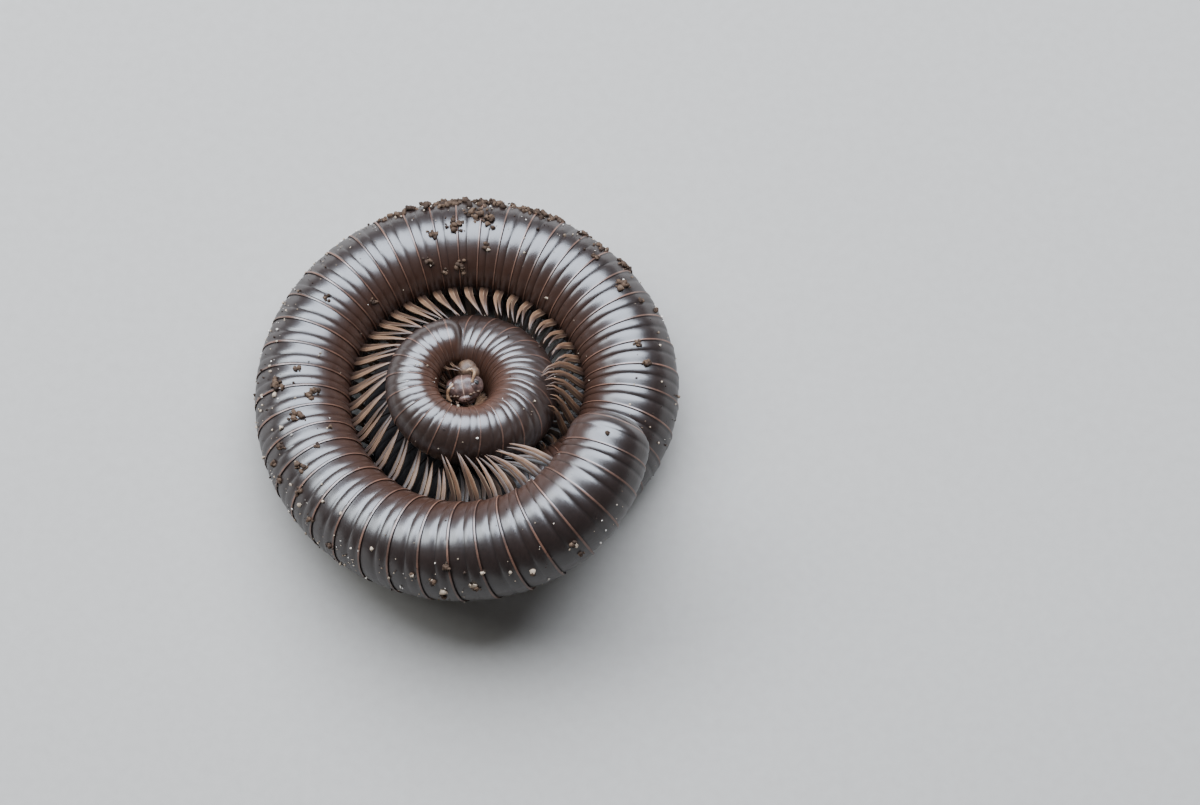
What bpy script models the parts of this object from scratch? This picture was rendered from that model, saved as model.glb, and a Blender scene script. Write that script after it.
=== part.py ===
"""A coiled giant millipede, life size, lying on its side with its head in the middle of the coil.

The body is one tapering tube of overlapping rings. It is swept along a spiral that starts at
the tail, runs once around the outside, slips under the tail, goes on below the legs and rises
again as the small inner coil that ends at the head. The origin is on the floor below the middle
of the whole animal's box, +Z is up and +Y points to twelve o'clock of the coil.
"""

import itertools
import math

import bmesh
import bpy
import numpy as np
from mathutils import Matrix, Vector

# Driving dimensions, in millimetres
MM = 0.001
BODY = 10.0
FLOOR_LEVEL = BODY / 2
FLAT_DEPTH = 0.35
NODE_GAP = 0.3
WELD = 0.001
SHARP_EDGE = 35
ORIGIN_SHIFT = Vector((-0.03, 1.45, -FLAT_DEPTH))

# The spiral: turn angle in degrees, clockwise from twelve o'clock, distance from the coil's
# axis, height of the body's centre and radius of the body there
SPIRAL = (
    (114, 14.9, 15.1, 4.35),
    (138, 15.6, 14.5, 4.75),
    (165, 15.95, 12.7, 4.95),
    (195, 16.1, 10.2, 5.0),
    (225, 16.2, 7.4, 5.0),
    (255, 16.2, 5.6, 5.0),
    (285, 16.1, 5.0, 5.0),
    (330, 15.8, 5.0, 5.0),
    (375, 15.75, 5.0, 5.0),
    (420, 16.1, 5.0, 5.0),
    (450, 16.2, 5.0, 5.0),
    (480, 15.1, 5.0, 4.9),
    (510, 12.7, 4.95, 4.7),
    (540, 10.0, 4.65, 4.5),
    (570, 7.7, 4.5, 4.45),
    (600, 6.35, 4.45, 4.45),
    (630, 5.8, 4.45, 4.4),
    (675, 5.2, 4.5, 4.35),
    (720, 4.95, 5.2, 4.25),
    (765, 5.1, 6.2, 4.2),
    (810, 5.2, 7.9, 4.0),
    (855, 5.05, 10.45, 3.6),
    (900, 4.85, 12.3, 3.2),
    (945, 4.8, 12.9, 3.0),
    (990, 4.8, 13.1, 2.9),
    (1035, 4.6, 13.2, 2.75),
    (1080, 4.3, 13.2, 2.5),
)
SPIRAL_STEP = 1.0
# A high stretch of the coil leans towards six o'clock by this share of its height
LEAN_OUTER = 0.383
LEAN_INNER = 0.14
# The small inner coil lies off the axis by this much, in x and y
INNER_SHIFT = (0.05, -1.0)
DIVE = (480, 720)

# The belly is flatter than the back, most of all in the tight inner coil
BELLY_OUTER = 0.92
BELLY_INNER = 0.78

# Rings, by their pitch in degrees at some turns of the outer coil and in the inner one, and the
# length of each named stretch in rings
TAIL_START = 123.0
PITCH_TURNS = (123, 190, 250, 360, 480)
PITCH_OUTER = (9.5, 8.9, 8.35, 8.15, 7.9)
PITCH_INNER = 16.7
RINGS_PER_LENGTH = (7, 7, 7, 7, 6, 7, 5, 6, 4, 9, 6, 6, 7)
SIDES = 16
# A ring's front end is narrower, as it slides under the rear rim of the ring before it
FRONT_SHRINK = 0.972
RIM_STEP = 0.05

# End shapes, as (distance along the body, share of its radius) and, for the collum, the drop
# of its middle towards the belly
HOOD = ((0.3, 1.0), (-0.3, 0.995), (-1.0, 0.985), (-1.6, 0.96), (-2.2, 0.90), (-2.7, 0.79))
VALVE = ((-3.0, 0.70), (-3.35, 0.60), (-3.65, 0.45), (-3.85, 0.22))
VALVE_STEPS = 8
COLLUM = ((0.0, 1.0, 0.0), (0.5, 0.98, 0.05), (0.95, 0.88, 0.2), (1.25, 0.70, 0.4), (1.42, 0.42, 0.6))

# Legs, two pairs to a ring on the outer turn and one pair on the small inner coil
LEG_THICK = 0.56
LEG_TAPER = (1.0, 1.0, 0.8, 0.22)
LEG_JOINTS = (0.38, 0.72, 1.0)
LEG_REACH = 4.3
LEG_REACH_INNER = 1.5
LEG_SINK = 0.6
LEG_SPREAD = 0.12
LEG_CLEAR = 0.32
LEG_SWEEP = 0.30
LEG_SWEEP_VARIES = 0.2
LEG_VARIES_EVERY = 23.0
LEG_ARCH = 0.56
LEG_TURN_INNER = 500
# Round the pit that holds the head both rows hang down from the belly, but for the first legs
PIT_TURNS = (760, 1030)
PIT_SPREADS = (0.05, 0.38)
LEG_PLACES_OUTER = (0.36, 0.64)
LEG_PLACES_INNER = (0.5,)
# A leg is arched more, steeper and folded shorter, until it lies clear of the turn beside it
LEG_RISES = (0.8, 1.4, 2.0, 2.6, 3.2, 3.8, 4.4, 5.0, 5.6, 6.2)
LEG_STEEPS = (1.0, 1.5, 2.0)
LEG_FOLDS = (1.0, 0.9, 0.8, 0.7, 0.6, 0.5, 0.4, 0.3, 0.2, 0.12)
OTHER_TURN = 60.0
BESIDE = 0.8

# Head
HEAD_AT = Vector((0.0, -2.25, 12.75))
HEAD_ROOM = 1.9
HEAD_FACES = Vector((0.30, -0.34, 0.89))
HEAD_UP = Vector((-0.16, 0.94, 0.20))
CAPSULE = Vector((1.68, 1.2, 1.6))
CHEEK = Vector((0.82, 0.85, 1.0))
CHEEK_AT = Vector((0.72, 0.42, -0.62))
EYE = Vector((0.30, 0.22, 0.42))
EYE_AT = Vector((1.30, 0.72, 0.42))
SOCKET_CLEAR = 0.15
ANTENNA_AT = Vector((0.62, 1.12, 0.22))
ANTENNA_THICK = 0.5
ANTENNA_ROUTE = (
    (0.0, 0.22, 0.0),
    (0.10, 0.55, 0.05),
    (0.34, 0.70, -0.25),
    (0.42, 0.75, -0.80),
    (0.25, 0.78, -1.3),
)
ANTENNA_WIDTHS = (0.9, 1.0, 1.0, 1.15, 0.8)
LIP = Vector((0.75, 0.45, 0.40))
LIP_AT = Vector((0.0, 0.85, -1.22))
MOUTH_ROUTE = (
    (-0.95, 0.85, -1.30),
    (-0.45, 1.22, -1.36),
    (0.0, 1.31, -1.38),
    (0.45, 1.22, -1.36),
    (0.95, 0.85, -1.30),
)
MOUTH_WIDTH = 0.16
NECK_ROUTE = ((0.0, -0.2, 0.6), (0.1, -0.5, 2.2))
NECK_WIDTHS = (1.9, 1.6)


def spline_values(turns, values, at):
    """Values of the smooth curve through the given points, a natural cubic spline."""
    count = len(turns)
    step = np.diff(turns)
    system = np.zeros((count, count))
    right = np.zeros(count)
    system[0, 0] = 1.0
    system[-1, -1] = 1.0
    for i in range(1, count - 1):
        system[i, i - 1] = step[i - 1]
        system[i, i] = 2.0 * (step[i - 1] + step[i])
        system[i, i + 1] = step[i]
        slope_change = (values[i + 1] - values[i]) / step[i] - (values[i] - values[i - 1]) / step[i - 1]
        right[i] = 6.0 * slope_change
    bend = np.linalg.solve(system, right)
    k = np.clip(np.searchsorted(turns, at, side="right") - 1, 0, count - 2)
    width = step[k]
    after = at - turns[k]
    before = turns[k + 1] - at
    cubic = (bend[k] * before**3 + bend[k + 1] * after**3) / (6.0 * width)
    start = (values[k] / width - bend[k] * width / 6.0) * before
    end = (values[k + 1] / width - bend[k + 1] * width / 6.0) * after
    return cubic + start + end


def smooth_step(low, high, at):
    share = np.clip((at - low) / (high - low), 0.0, 1.0)
    return share * share * (3.0 - 2.0 * share)


class Spine:
    """The body's centre line, sampled once, with the frame and the radius at any turn angle."""

    def __init__(self):
        table = np.array(SPIRAL, float)
        self.turn = np.arange(table[0, 0], table[-1, 0] + SPIRAL_STEP / 2, SPIRAL_STEP)
        distance = spline_values(table[:, 0], table[:, 1], self.turn)
        height = spline_values(table[:, 0], table[:, 2], self.turn)
        self.radius = spline_values(table[:, 0], table[:, 3], self.turn)
        inner = smooth_step(DIVE[0], DIVE[1], self.turn)
        lean = LEAN_OUTER + (LEAN_INNER - LEAN_OUTER) * inner
        angle = np.radians(self.turn)
        x = distance * np.sin(angle) + INNER_SHIFT[0] * inner + ORIGIN_SHIFT.x
        y = distance * np.cos(angle) - lean * (height - FLOOR_LEVEL) + ORIGIN_SHIFT.y
        y = y + INNER_SHIFT[1] * inner
        self.point = np.stack([x, y, height + ORIGIN_SHIFT.z], 1)
        self.belly = BELLY_OUTER + (BELLY_INNER - BELLY_OUTER) * inner
        steps = np.linalg.norm(np.diff(self.point, axis=0), axis=1)
        self.length = np.concatenate([[0.0], np.cumsum(steps)])
        ahead = np.gradient(self.point, self.length, axis=0)
        self.ahead = ahead / np.linalg.norm(ahead, axis=1)[:, None]
        back = np.cross(np.array([0.0, 0.0, 1.0]), self.ahead)
        self.back = back / np.linalg.norm(back, axis=1)[:, None]
        side = np.cross(self.ahead, self.back)
        self.side = side / np.linalg.norm(side, axis=1)[:, None]

    def at(self, turn):
        """(centre, ahead, back, side, radius, belly) at one turn angle."""
        found = []
        for row in (self.point, self.ahead, self.back, self.side):
            found.append(Vector([np.interp(turn, self.turn, row[:, i]) for i in range(3)]))
        centre, ahead, back, side = found
        radius = float(np.interp(turn, self.turn, self.radius))
        belly = float(np.interp(turn, self.turn, self.belly))
        return centre, ahead.normalized(), back.normalized(), side.normalized(), radius, belly

    def turn_at_length(self, length):
        return float(np.interp(length, self.length, self.turn))

    def length_at_turn(self, turn):
        return float(np.interp(turn, self.turn, self.length))

    def clearance(self, points, own_turn):
        """Least distance from the points to the body's other turns."""
        other = np.abs(self.turn - own_turn) > OTHER_TURN
        points = np.array(points)
        away = points[:, None] - self.point[None, other]
        along = np.einsum("ijk,jk->ij", away, self.ahead[other])
        outward = np.einsum("ijk,jk->ij", away, self.back[other])
        sideways = np.einsum("ijk,jk->ij", away, self.side[other])
        outward = np.where(outward < 0.0, outward / self.belly[other], outward)
        reach = np.hypot(outward, sideways) - self.radius[other]
        reach = np.where(np.abs(along) < BESIDE, reach, np.inf)
        from_head = np.linalg.norm(points - np.array(HEAD_AT + ORIGIN_SHIFT), axis=1) - HEAD_ROOM
        return float(min(reach.min(), from_head.min()))


def section(frame, scale, shift=0.0):
    """One ring of points around the body, round on the back and flatter on the belly."""
    centre, ahead, back, side, radius, belly = frame
    points = []
    for i in range(SIDES):
        angle = 2.0 * math.pi * (i + 0.5) / SIDES
        outward = math.cos(angle)
        if outward < 0.0:
            outward *= belly
        reach = back * (outward * radius * scale) + side * (math.sin(angle) * radius * scale)
        point = centre + ahead * shift + reach
        # The underside rests on small flats at the floor
        point.z = max(point.z, 0.0)
        points.append(point)
    return points


def mesh_object(name, mesh, parts):
    obj = bpy.data.objects.new(name, mesh)
    parts.objects.link(obj)
    return obj


def loft(name, rings, parts):
    """A closed body through rings of equally many points, with flat ends."""
    shape = bmesh.new()
    rows = []
    for ring in rings:
        rows.append([shape.verts.new(point * MM) for point in ring])
    count = len(rows[0])
    for before, after in zip(rows, rows[1:]):
        for i in range(count):
            j = (i + 1) % count
            shape.faces.new((before[i], before[j], after[j], after[i]))
    shape.faces.new(rows[0])
    shape.faces.new(rows[-1])
    bmesh.ops.recalc_face_normals(shape, faces=shape.faces)
    mesh = bpy.data.meshes.new(name)
    shape.to_mesh(mesh)
    shape.free()
    return mesh_object(name, mesh, parts)


def ellipsoid(name, half, at, parts, segments=16, rings=10):
    shape = bmesh.new()
    bmesh.ops.create_uvsphere(shape, u_segments=segments, v_segments=rings, radius=1.0)
    bmesh.ops.scale(shape, vec=half * MM, verts=shape.verts)
    bmesh.ops.translate(shape, vec=at * MM, verts=shape.verts)
    mesh = bpy.data.meshes.new(name)
    shape.to_mesh(mesh)
    shape.free()
    return mesh_object(name, mesh, parts)


def rod(name, points, widths, parts, roundness=0):
    """A tapering rod through the points, as a bevelled curve made a closed mesh."""
    curve = bpy.data.curves.new(name + "_path", "CURVE")
    curve.dimensions = "3D"
    curve.bevel_depth = 0.5 * MM
    curve.bevel_resolution = roundness
    curve.use_fill_caps = True
    path = curve.splines.new("POLY")
    path.points.add(len(points) - 1)
    for knot, point, width in zip(path.points, points, widths):
        knot.co = (point * MM).to_4d()
        knot.radius = width
    guide = bpy.data.objects.new(name + "_path", curve)
    parts.objects.link(guide)
    graph = bpy.context.evaluated_depsgraph_get()
    mesh = bpy.data.meshes.new_from_object(guide.evaluated_get(graph))
    bpy.data.objects.remove(guide)
    bpy.data.curves.remove(curve)
    shape = bmesh.new()
    shape.from_mesh(mesh)
    bmesh.ops.remove_doubles(shape, verts=shape.verts, dist=WELD * MM)
    bmesh.ops.recalc_face_normals(shape, faces=shape.faces)
    shape.to_mesh(mesh)
    shape.free()
    return mesh_object(name, mesh, parts)


def keep_largest_surface(obj):
    """Drops every closed surface of the mesh but the one with the most faces."""
    shape = bmesh.new()
    shape.from_mesh(obj.data)
    unseen = set(shape.faces)
    islands = []
    while unseen:
        first = unseen.pop()
        island = [first]
        waiting = [first]
        while waiting:
            face = waiting.pop()
            for edge in face.edges:
                for other in edge.link_faces:
                    if other in unseen:
                        unseen.remove(other)
                        island.append(other)
                        waiting.append(other)
        islands.append(island)
    islands.sort(key=len)
    for island in islands[:-1]:
        bmesh.ops.delete(shape, geom=island, context="FACES")
    shape.to_mesh(obj.data)
    shape.free()


def combine(obj, pieces, operation):
    """Joins the pieces to the object, or cuts them out of it, and removes them."""
    helpers = bpy.data.collections.new(obj.name + "_pieces")
    bpy.context.scene.collection.children.link(helpers)
    for piece in pieces:
        for holder in list(piece.users_collection):
            holder.objects.unlink(piece)
        helpers.objects.link(piece)
    step = obj.modifiers.new("Combine", "BOOLEAN")
    step.operation = operation
    step.operand_type = "COLLECTION"
    step.collection = helpers
    step.solver = "EXACT"
    graph = bpy.context.evaluated_depsgraph_get()
    mesh = bpy.data.meshes.new_from_object(obj.evaluated_get(graph))
    obj.modifiers.clear()
    obj.data = mesh
    for piece in pieces:
        bpy.data.objects.remove(piece)
    bpy.data.collections.remove(helpers)
    keep_largest_surface(obj)


def material(name, colour, roughness):
    made = bpy.data.materials.new(name)
    made.use_nodes = True
    shader = made.node_tree.nodes["Principled BSDF"]
    shader.inputs["Base Color"].default_value = (*colour, 1.0)
    shader.inputs["Roughness"].default_value = roughness
    shader.inputs["Metallic"].default_value = 0.0
    return made


def finish_node(obj, colour_of):
    obj.data.materials.clear()
    obj.data.materials.append(colour_of)
    obj.data.shade_smooth()
    obj.data.set_sharp_from_angle(angle=math.radians(SHARP_EDGE))


def ring_turns():
    """Turn angles of the joints between rings, from the tail to the head."""
    turns = [TAIL_START]
    for _ in range(sum(RINGS_PER_LENGTH)):
        inner = float(smooth_step(DIVE[0], DIVE[1], turns[-1]))
        outer = float(np.interp(turns[-1], PITCH_TURNS, PITCH_OUTER))
        turns.append(turns[-1] + outer + (PITCH_INNER - outer) * inner)
    return turns


def leg_points(spine, turn, upper, reach, rise, steep):
    """Four points of one leg, from inside the belly to the tip."""
    centre, ahead, back, side, radius, belly = spine.at(turn)
    away = side if (side.z > 0.0) == upper else -side
    spread = LEG_SPREAD
    if PIT_TURNS[0] < turn < PIT_TURNS[1]:
        away = side if side.z < 0.0 else -side
        spread = PIT_SPREADS[0] if upper else PIT_SPREADS[1]
    root = centre - back * (belly * radius - LEG_SINK) + away * (spread * radius)
    forward = LEG_SWEEP * (1.0 + LEG_SWEEP_VARIES * math.sin(math.radians(LEG_VARIES_EVERY * turn)))
    points = [root]
    for share in LEG_JOINTS:
        inward = -back * (LEG_SINK + reach * share**steep)
        arch = away * (rise * math.sin(share * math.pi * LEG_ARCH))
        sweep = ahead * (reach * forward * share * share)
        points.append(root + inward + arch + sweep)
    return points


def fits(spine, points, turn):
    """Whether a leg stays clear of the floor and of the body's other turns."""
    dense = []
    for before, after in zip(points[1:], points[2:]):
        for quarter in range(4):
            dense.append(before.lerp(after, quarter / 3))
    lowest = min(point.z for point in dense) - LEG_THICK / 2
    return lowest > LEG_CLEAR and spine.clearance(dense, turn) > LEG_CLEAR + LEG_THICK / 2


def leg(spine, name, turn, upper, parts):
    """One leg, bent and folded as little as it takes to lie clear, or none where it can't."""
    full = LEG_REACH_INNER if turn > LEG_TURN_INNER else LEG_REACH
    for fold in LEG_FOLDS:
        for rise, steep in itertools.product(LEG_RISES, LEG_STEEPS):
            points = leg_points(spine, turn, upper, full * fold, rise, steep)
            if fits(spine, points, turn):
                return rod(name, points, [LEG_THICK * share for share in LEG_TAPER], parts)
    return None


def trunk_length(spine, number, turns, parts):
    """One named stretch of the body: its rings as one body, joined with their legs."""
    name = f"trunk_{number:02d}"
    rings = []
    legs = []
    for start, end in zip(turns, turns[1:]):
        first = NODE_GAP / 2 if start == turns[0] else RIM_STEP
        last = NODE_GAP / 2 if end == turns[-1] else RIM_STEP
        rear = spine.turn_at_length(spine.length_at_turn(start) + first)
        front = spine.turn_at_length(spine.length_at_turn(end) - last)
        rings.append(section(spine.at(rear), 1.0))
        rings.append(section(spine.at(front), FRONT_SHRINK))
        for share in LEG_PLACES_INNER if start > LEG_TURN_INNER else LEG_PLACES_OUTER:
            for upper in (True, False):
                place = start + (end - start) * share
                legs.append(leg(spine, f"{name}_leg_{len(legs)}", place, upper, parts))
    body = loft(name, rings, parts)
    legs = [piece for piece in legs if piece]
    combine(body, legs, "UNION")
    print(name, "has", len(legs), "legs")
    return body


def half_section(frame, scale, shift, upper, slit):
    """The upper or lower half of a ring of points, cut flat beside the middle slit."""
    centre, ahead, back, side, radius, belly = frame
    away = side if side.z > 0.0 else -side
    if not upper:
        away = -away
    points = []
    for i in range(VALVE_STEPS + 1):
        angle = math.pi * i / VALVE_STEPS
        outward = math.cos(angle)
        if outward < 0.0:
            outward *= belly
        sideways = math.sin(angle) * radius * scale + slit / 2
        points.append(centre + ahead * shift + back * (outward * radius * scale) + away * sideways)
    return points


def tail(spine, parts):
    """The last ring with its rounded hood, and the two valves that close the tail's end."""
    frame = spine.at(spine.turn[0])
    last = spine.length_at_turn(TAIL_START) - NODE_GAP / 2
    rings = [section(spine.at(spine.turn_at_length(last)), FRONT_SHRINK)]
    for shift, scale in HOOD:
        rings.append(section(frame, scale, shift))
    loft("tail_ring", rings, parts)
    for upper, name in ((True, "anal_valve_right"), (False, "anal_valve_left")):
        halves = []
        for shift, scale in VALVE:
            halves.append(half_section(frame, scale, shift, upper, NODE_GAP))
        loft(name, halves, parts)


def collum(spine, front_turn, parts):
    """The shield behind the head: a last, short ring that closes as a rounded hood."""
    start = spine.turn_at_length(spine.length_at_turn(front_turn) + NODE_GAP / 2)
    centre, ahead, back, side, radius, belly = spine.at(start)
    rings = []
    for shift, scale, drop in COLLUM:
        frame = (centre - back * drop, ahead, back, side, radius, belly)
        rings.append(section(frame, scale, shift))
    loft("collum", rings, parts)


def head_matrix():
    up = HEAD_UP.normalized()
    front = (HEAD_FACES - up * HEAD_FACES.dot(up)).normalized()
    right = front.cross(up)
    turn = Matrix((right, front, up)).transposed().to_4x4()
    return Matrix.Translation((HEAD_AT + ORIGIN_SHIFT) * MM) @ turn


def mirrored(vector):
    return Vector((-vector.x, vector.y, vector.z))


def antenna(name, sign, parts):
    """One elbowed feeler that bends down over the face and swells towards its tip."""
    points = []
    for x, y, z in ANTENNA_ROUTE:
        points.append(Vector((sign * (ANTENNA_AT.x + x), ANTENNA_AT.y + y, ANTENNA_AT.z + z)))
    widths = [ANTENNA_THICK * share for share in ANTENNA_WIDTHS]
    return rod(name, points, widths, parts, roundness=1)


def head(parts):
    """The head capsule with its cheeks, lip, mouth line and neck, its two eyes and two feelers."""
    capsule = ellipsoid("head", CAPSULE, Vector(), parts, 20, 14)
    joined = []
    for sign, at in ((1, CHEEK_AT), (-1, mirrored(CHEEK_AT))):
        joined.append(ellipsoid(f"cheek_{sign}", CHEEK, at, parts, 12, 8))
    joined.append(ellipsoid("lip", LIP, LIP_AT, parts, 12, 8))
    joined.append(rod("neck", [Vector(point) for point in NECK_ROUTE], NECK_WIDTHS, parts, 2))
    combine(capsule, joined, "UNION")
    mouth = [Vector(point) for point in MOUTH_ROUTE]
    cutters = [rod("mouth", mouth, [MOUTH_WIDTH] * len(mouth), parts)]
    for sign, at in ((1, EYE_AT), (-1, mirrored(EYE_AT))):
        room = EYE + Vector((1.0, 1.0, 1.0)) * SOCKET_CLEAR
        cutters.append(ellipsoid(f"socket_{sign}", room, at, parts, 12, 8))
    combine(capsule, cutters, "DIFFERENCE")
    pieces = [capsule]
    pieces.append(ellipsoid("eye_right", EYE, EYE_AT, parts, 12, 8))
    pieces.append(ellipsoid("eye_left", EYE, mirrored(EYE_AT), parts, 12, 8))
    pieces.append(antenna("antenna_right", 1, parts))
    pieces.append(antenna("antenna_left", -1, parts))
    for piece in pieces:
        piece.data.transform(head_matrix())
        piece.data.update()
    return pieces


def clear_scene():
    for obj in list(bpy.data.objects):
        bpy.data.objects.remove(obj)


def main():
    clear_scene()
    parts = bpy.data.collections.new("coiled_millipede")
    bpy.context.scene.collection.children.link(parts)
    shell = material("shell", (0.045, 0.030, 0.026), 0.28)
    chestnut = material("chestnut", (0.14, 0.055, 0.030), 0.35)
    eye_black = material("eye_black", (0.01, 0.009, 0.009), 0.2)
    horn = material("horn", (0.38, 0.20, 0.12), 0.4)

    spine = Spine()
    turns = ring_turns()
    tail(spine, parts)
    first = 0
    for number, count in enumerate(RINGS_PER_LENGTH, start=1):
        trunk_length(spine, number, turns[first:first + count + 1], parts)
        first += count
    collum(spine, turns[-1], parts)
    for obj in parts.objects:
        finish_node(obj, shell)
    head_pieces = head(parts)
    for obj, look in zip(head_pieces, (chestnut, eye_black, eye_black, horn, horn)):
        finish_node(obj, look)


main()
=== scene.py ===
# %% [markdown]
# # A coiled giant millipede
# A millipede at rest rolls itself up like a watch spring, with the head in the middle and the
# legs tucked inwards. This lesson dresses a imported model of one. The imported solids already hold
# every size and place, so they are loaded first.

# %% Load the imported model
import math
import random

import bpy
import numpy as np
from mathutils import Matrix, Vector
from mathutils.bvhtree import BVHTree


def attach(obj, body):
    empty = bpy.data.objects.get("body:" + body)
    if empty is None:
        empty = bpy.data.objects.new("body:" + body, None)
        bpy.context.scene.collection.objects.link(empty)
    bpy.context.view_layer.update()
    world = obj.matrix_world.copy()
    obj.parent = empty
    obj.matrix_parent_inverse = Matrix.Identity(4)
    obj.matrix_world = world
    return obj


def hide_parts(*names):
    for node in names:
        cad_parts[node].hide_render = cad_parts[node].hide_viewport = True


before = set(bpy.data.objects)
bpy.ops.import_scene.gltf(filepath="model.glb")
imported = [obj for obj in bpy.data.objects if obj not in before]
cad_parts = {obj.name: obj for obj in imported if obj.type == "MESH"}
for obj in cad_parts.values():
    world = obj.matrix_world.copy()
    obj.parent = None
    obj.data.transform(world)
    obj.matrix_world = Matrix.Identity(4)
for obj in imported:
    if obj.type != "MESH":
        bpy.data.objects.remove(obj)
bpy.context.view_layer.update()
MM = 0.001
print("solids:", sorted(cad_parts))

# %% [markdown]
# ## The camera
# The animal lies on the ground and is looked down on steeply, from its six o'clock side, with a
# long lens. It sits left of the middle of the picture, so the camera aims at a point on the floor
# to the right of it. The camera is made first, so every later step can be looked at.

# %% Place the camera
VIEW_TARGET = Vector((13.28, 0.59, 4.65)) * MM
VIEW_HEIGHT = math.radians(69)
VIEW_AWAY = 333.3 * MM

lens = bpy.data.cameras.new("portrait_lens")
lens.lens = 100
lens.sensor_width = 36
lens.clip_start = 0.01
camera = bpy.data.objects.new("portrait_camera", lens)
bpy.context.collection.objects.link(camera)
backwards = Vector((0, -math.cos(VIEW_HEIGHT), math.sin(VIEW_HEIGHT)))
camera.location = VIEW_TARGET + backwards * VIEW_AWAY
camera.rotation_euler = (math.pi / 2 - VIEW_HEIGHT, 0, 0)
bpy.context.scene.camera = camera
print("camera at", [round(value, 4) for value in camera.location])

# %% [markdown]
# ## The light
# A shiny dark shell shows mostly what it mirrors. One broad soft lamp above gives the wide
# silvery band along the top of the body, a weaker one from the side keeps the flanks readable,
# and a faint grey sky fills the shadows. Small hard lamps would leave dots on every ring.

# %% Make the lights and the sky
SKY_COLOUR = (0.70, 0.68, 0.66, 1)
SKY_STRENGTH = 0.10


def softbox(name, at, aim, size, power, colour):
    lamp = bpy.data.lights.new(name, "AREA")
    lamp.shape = "ELLIPSE"
    lamp.size, lamp.size_y = size
    lamp.energy = power
    lamp.color = colour
    stand = bpy.data.objects.new(name, lamp)
    bpy.context.collection.objects.link(stand)
    stand.location = at
    stand.rotation_euler = (Vector(aim) - Vector(at)).to_track_quat("-Z", "Y").to_euler()
    return stand


softbox("overhead_soft", (0.0, 0.22, 0.42), (0, 0, 0), (0.78, 0.48), 10.2, (0.79, 0.87, 1.0))
softbox("left_soft", (-0.34, 0.10, 0.30), (0, 0, 0), (0.24, 0.24), 1.2, (0.86, 0.93, 1.0))
sky = bpy.data.worlds.new("studio_sky")
sky.use_nodes = True
sky.node_tree.nodes["Background"].inputs["Color"].default_value = SKY_COLOUR
sky.node_tree.nodes["Background"].inputs["Strength"].default_value = SKY_STRENGTH
bpy.context.scene.world = sky

# %% [markdown]
# ## Writing a finish as arithmetic
# A material is a net of small nodes. Wiring each by hand hides the idea, so one small class
# stands for a socket, and `1 - mask` or `mask * 0.5` adds the Math node it needs. A second class
# is the finish: its one method adds any other node from its type, its settings and its values.

# %% Sockets that add and multiply


class Signal:
    """A number that varies over the surface."""

    def __init__(self, finish, socket):
        self.finish = finish
        self.socket = socket

    def math(self, operation, *values):
        return self.finish.node("ShaderNodeMath", {"operation": operation}, dict(enumerate(values)))

    def __add__(self, other):
        return self.math("ADD", self, other)

    def __radd__(self, other):
        return self.math("ADD", other, self)

    def __sub__(self, other):
        return self.math("SUBTRACT", self, other)

    def __rsub__(self, other):
        return self.math("SUBTRACT", other, self)

    def __mul__(self, other):
        return self.math("MULTIPLY", self, other)

    def __rmul__(self, other):
        return self.math("MULTIPLY", other, self)


# %% A finish and its one way to add a node


class Finish:
    """A material, its surface shader and a short way to write its nodes."""

    def __init__(self, name, roughness, specular, coat=0.0, coat_roughness=0.2):
        self.material = bpy.data.materials.new(name)
        self.material.use_nodes = True
        self.tree = self.material.node_tree
        self.shader = self.tree.nodes["Principled BSDF"]
        self.set("Roughness", roughness)
        self.set("Specular IOR Level", specular)
        self.set("Coat Weight", coat)
        self.set("Coat Roughness", coat_roughness)

    def node(self, kind, settings=None, values=None, output=0):
        made = self.tree.nodes.new(kind)
        for name, value in (settings or {}).items():
            setattr(made, name, value)
        for name, value in (values or {}).items():
            self.fill(made.inputs[name], value)
        return Signal(self, made.outputs[output])

    def fill(self, socket, value):
        if isinstance(value, Signal):
            self.tree.links.new(value.socket, socket)
        elif isinstance(value, tuple) and socket.type == "RGBA":
            socket.default_value = (*value, 1)
        else:
            socket.default_value = value

    def set(self, name, value):
        self.fill(self.shader.inputs[name], value)

    def blend(self, mask, first, second):
        settings = {"data_type": "RGBA"}
        return self.node("ShaderNodeMix", settings, {0: mask, 6: first, 7: second}, 2)

    def between(self, value, low, high):
        """0 below low, 1 above high, smooth in between."""
        settings = {"interpolation_type": "SMOOTHSTEP"}
        return self.node("ShaderNodeMapRange", settings, {0: value, 1: low, 2: high, 3: 0.0, 4: 1.0})

    def bump(self, height, strength, distance):
        values = {"Height": height, "Strength": strength, "Distance": distance}
        self.set("Normal", self.node("ShaderNodeBump", {}, values))


# %% [markdown]
# ## The floor
# The floor is one pale plane. A quite even sheet would look unreal where it meets the shell, so
# it gets a slight tone and grain from a noise.

# %% Lay the floor
FLOOR_SIZE = 3.0
FLOOR_TONES = ((0.37, 0.345, 0.31), (0.42, 0.395, 0.36))

bpy.ops.object.select_all(action="DESELECT")
bpy.ops.mesh.primitive_plane_add(size=FLOOR_SIZE, location=(0, 0, 0))
floor = bpy.context.object
floor.name = "studio_floor"
paper = Finish("pale_paper", 0.7, 0.3)
place = paper.node("ShaderNodeTexCoord", output=3)
tone = paper.node("ShaderNodeTexNoise", {}, {"Vector": place, "Scale": 900.0, "Detail": 3.0})
paper.set("Base Color", paper.blend(tone, *FLOOR_TONES))
floor.data.materials.append(paper.material)
print("floor laid")

# %% [markdown]
# ## The line that the body follows
# Everything on this animal grows from its centre line, a spiral that starts at the tail, runs
# once round the outside, dives under the tail and climbs again as the small inner coil. The same
# named stations as in the solids' source are joined by a natural cubic curve.

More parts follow.
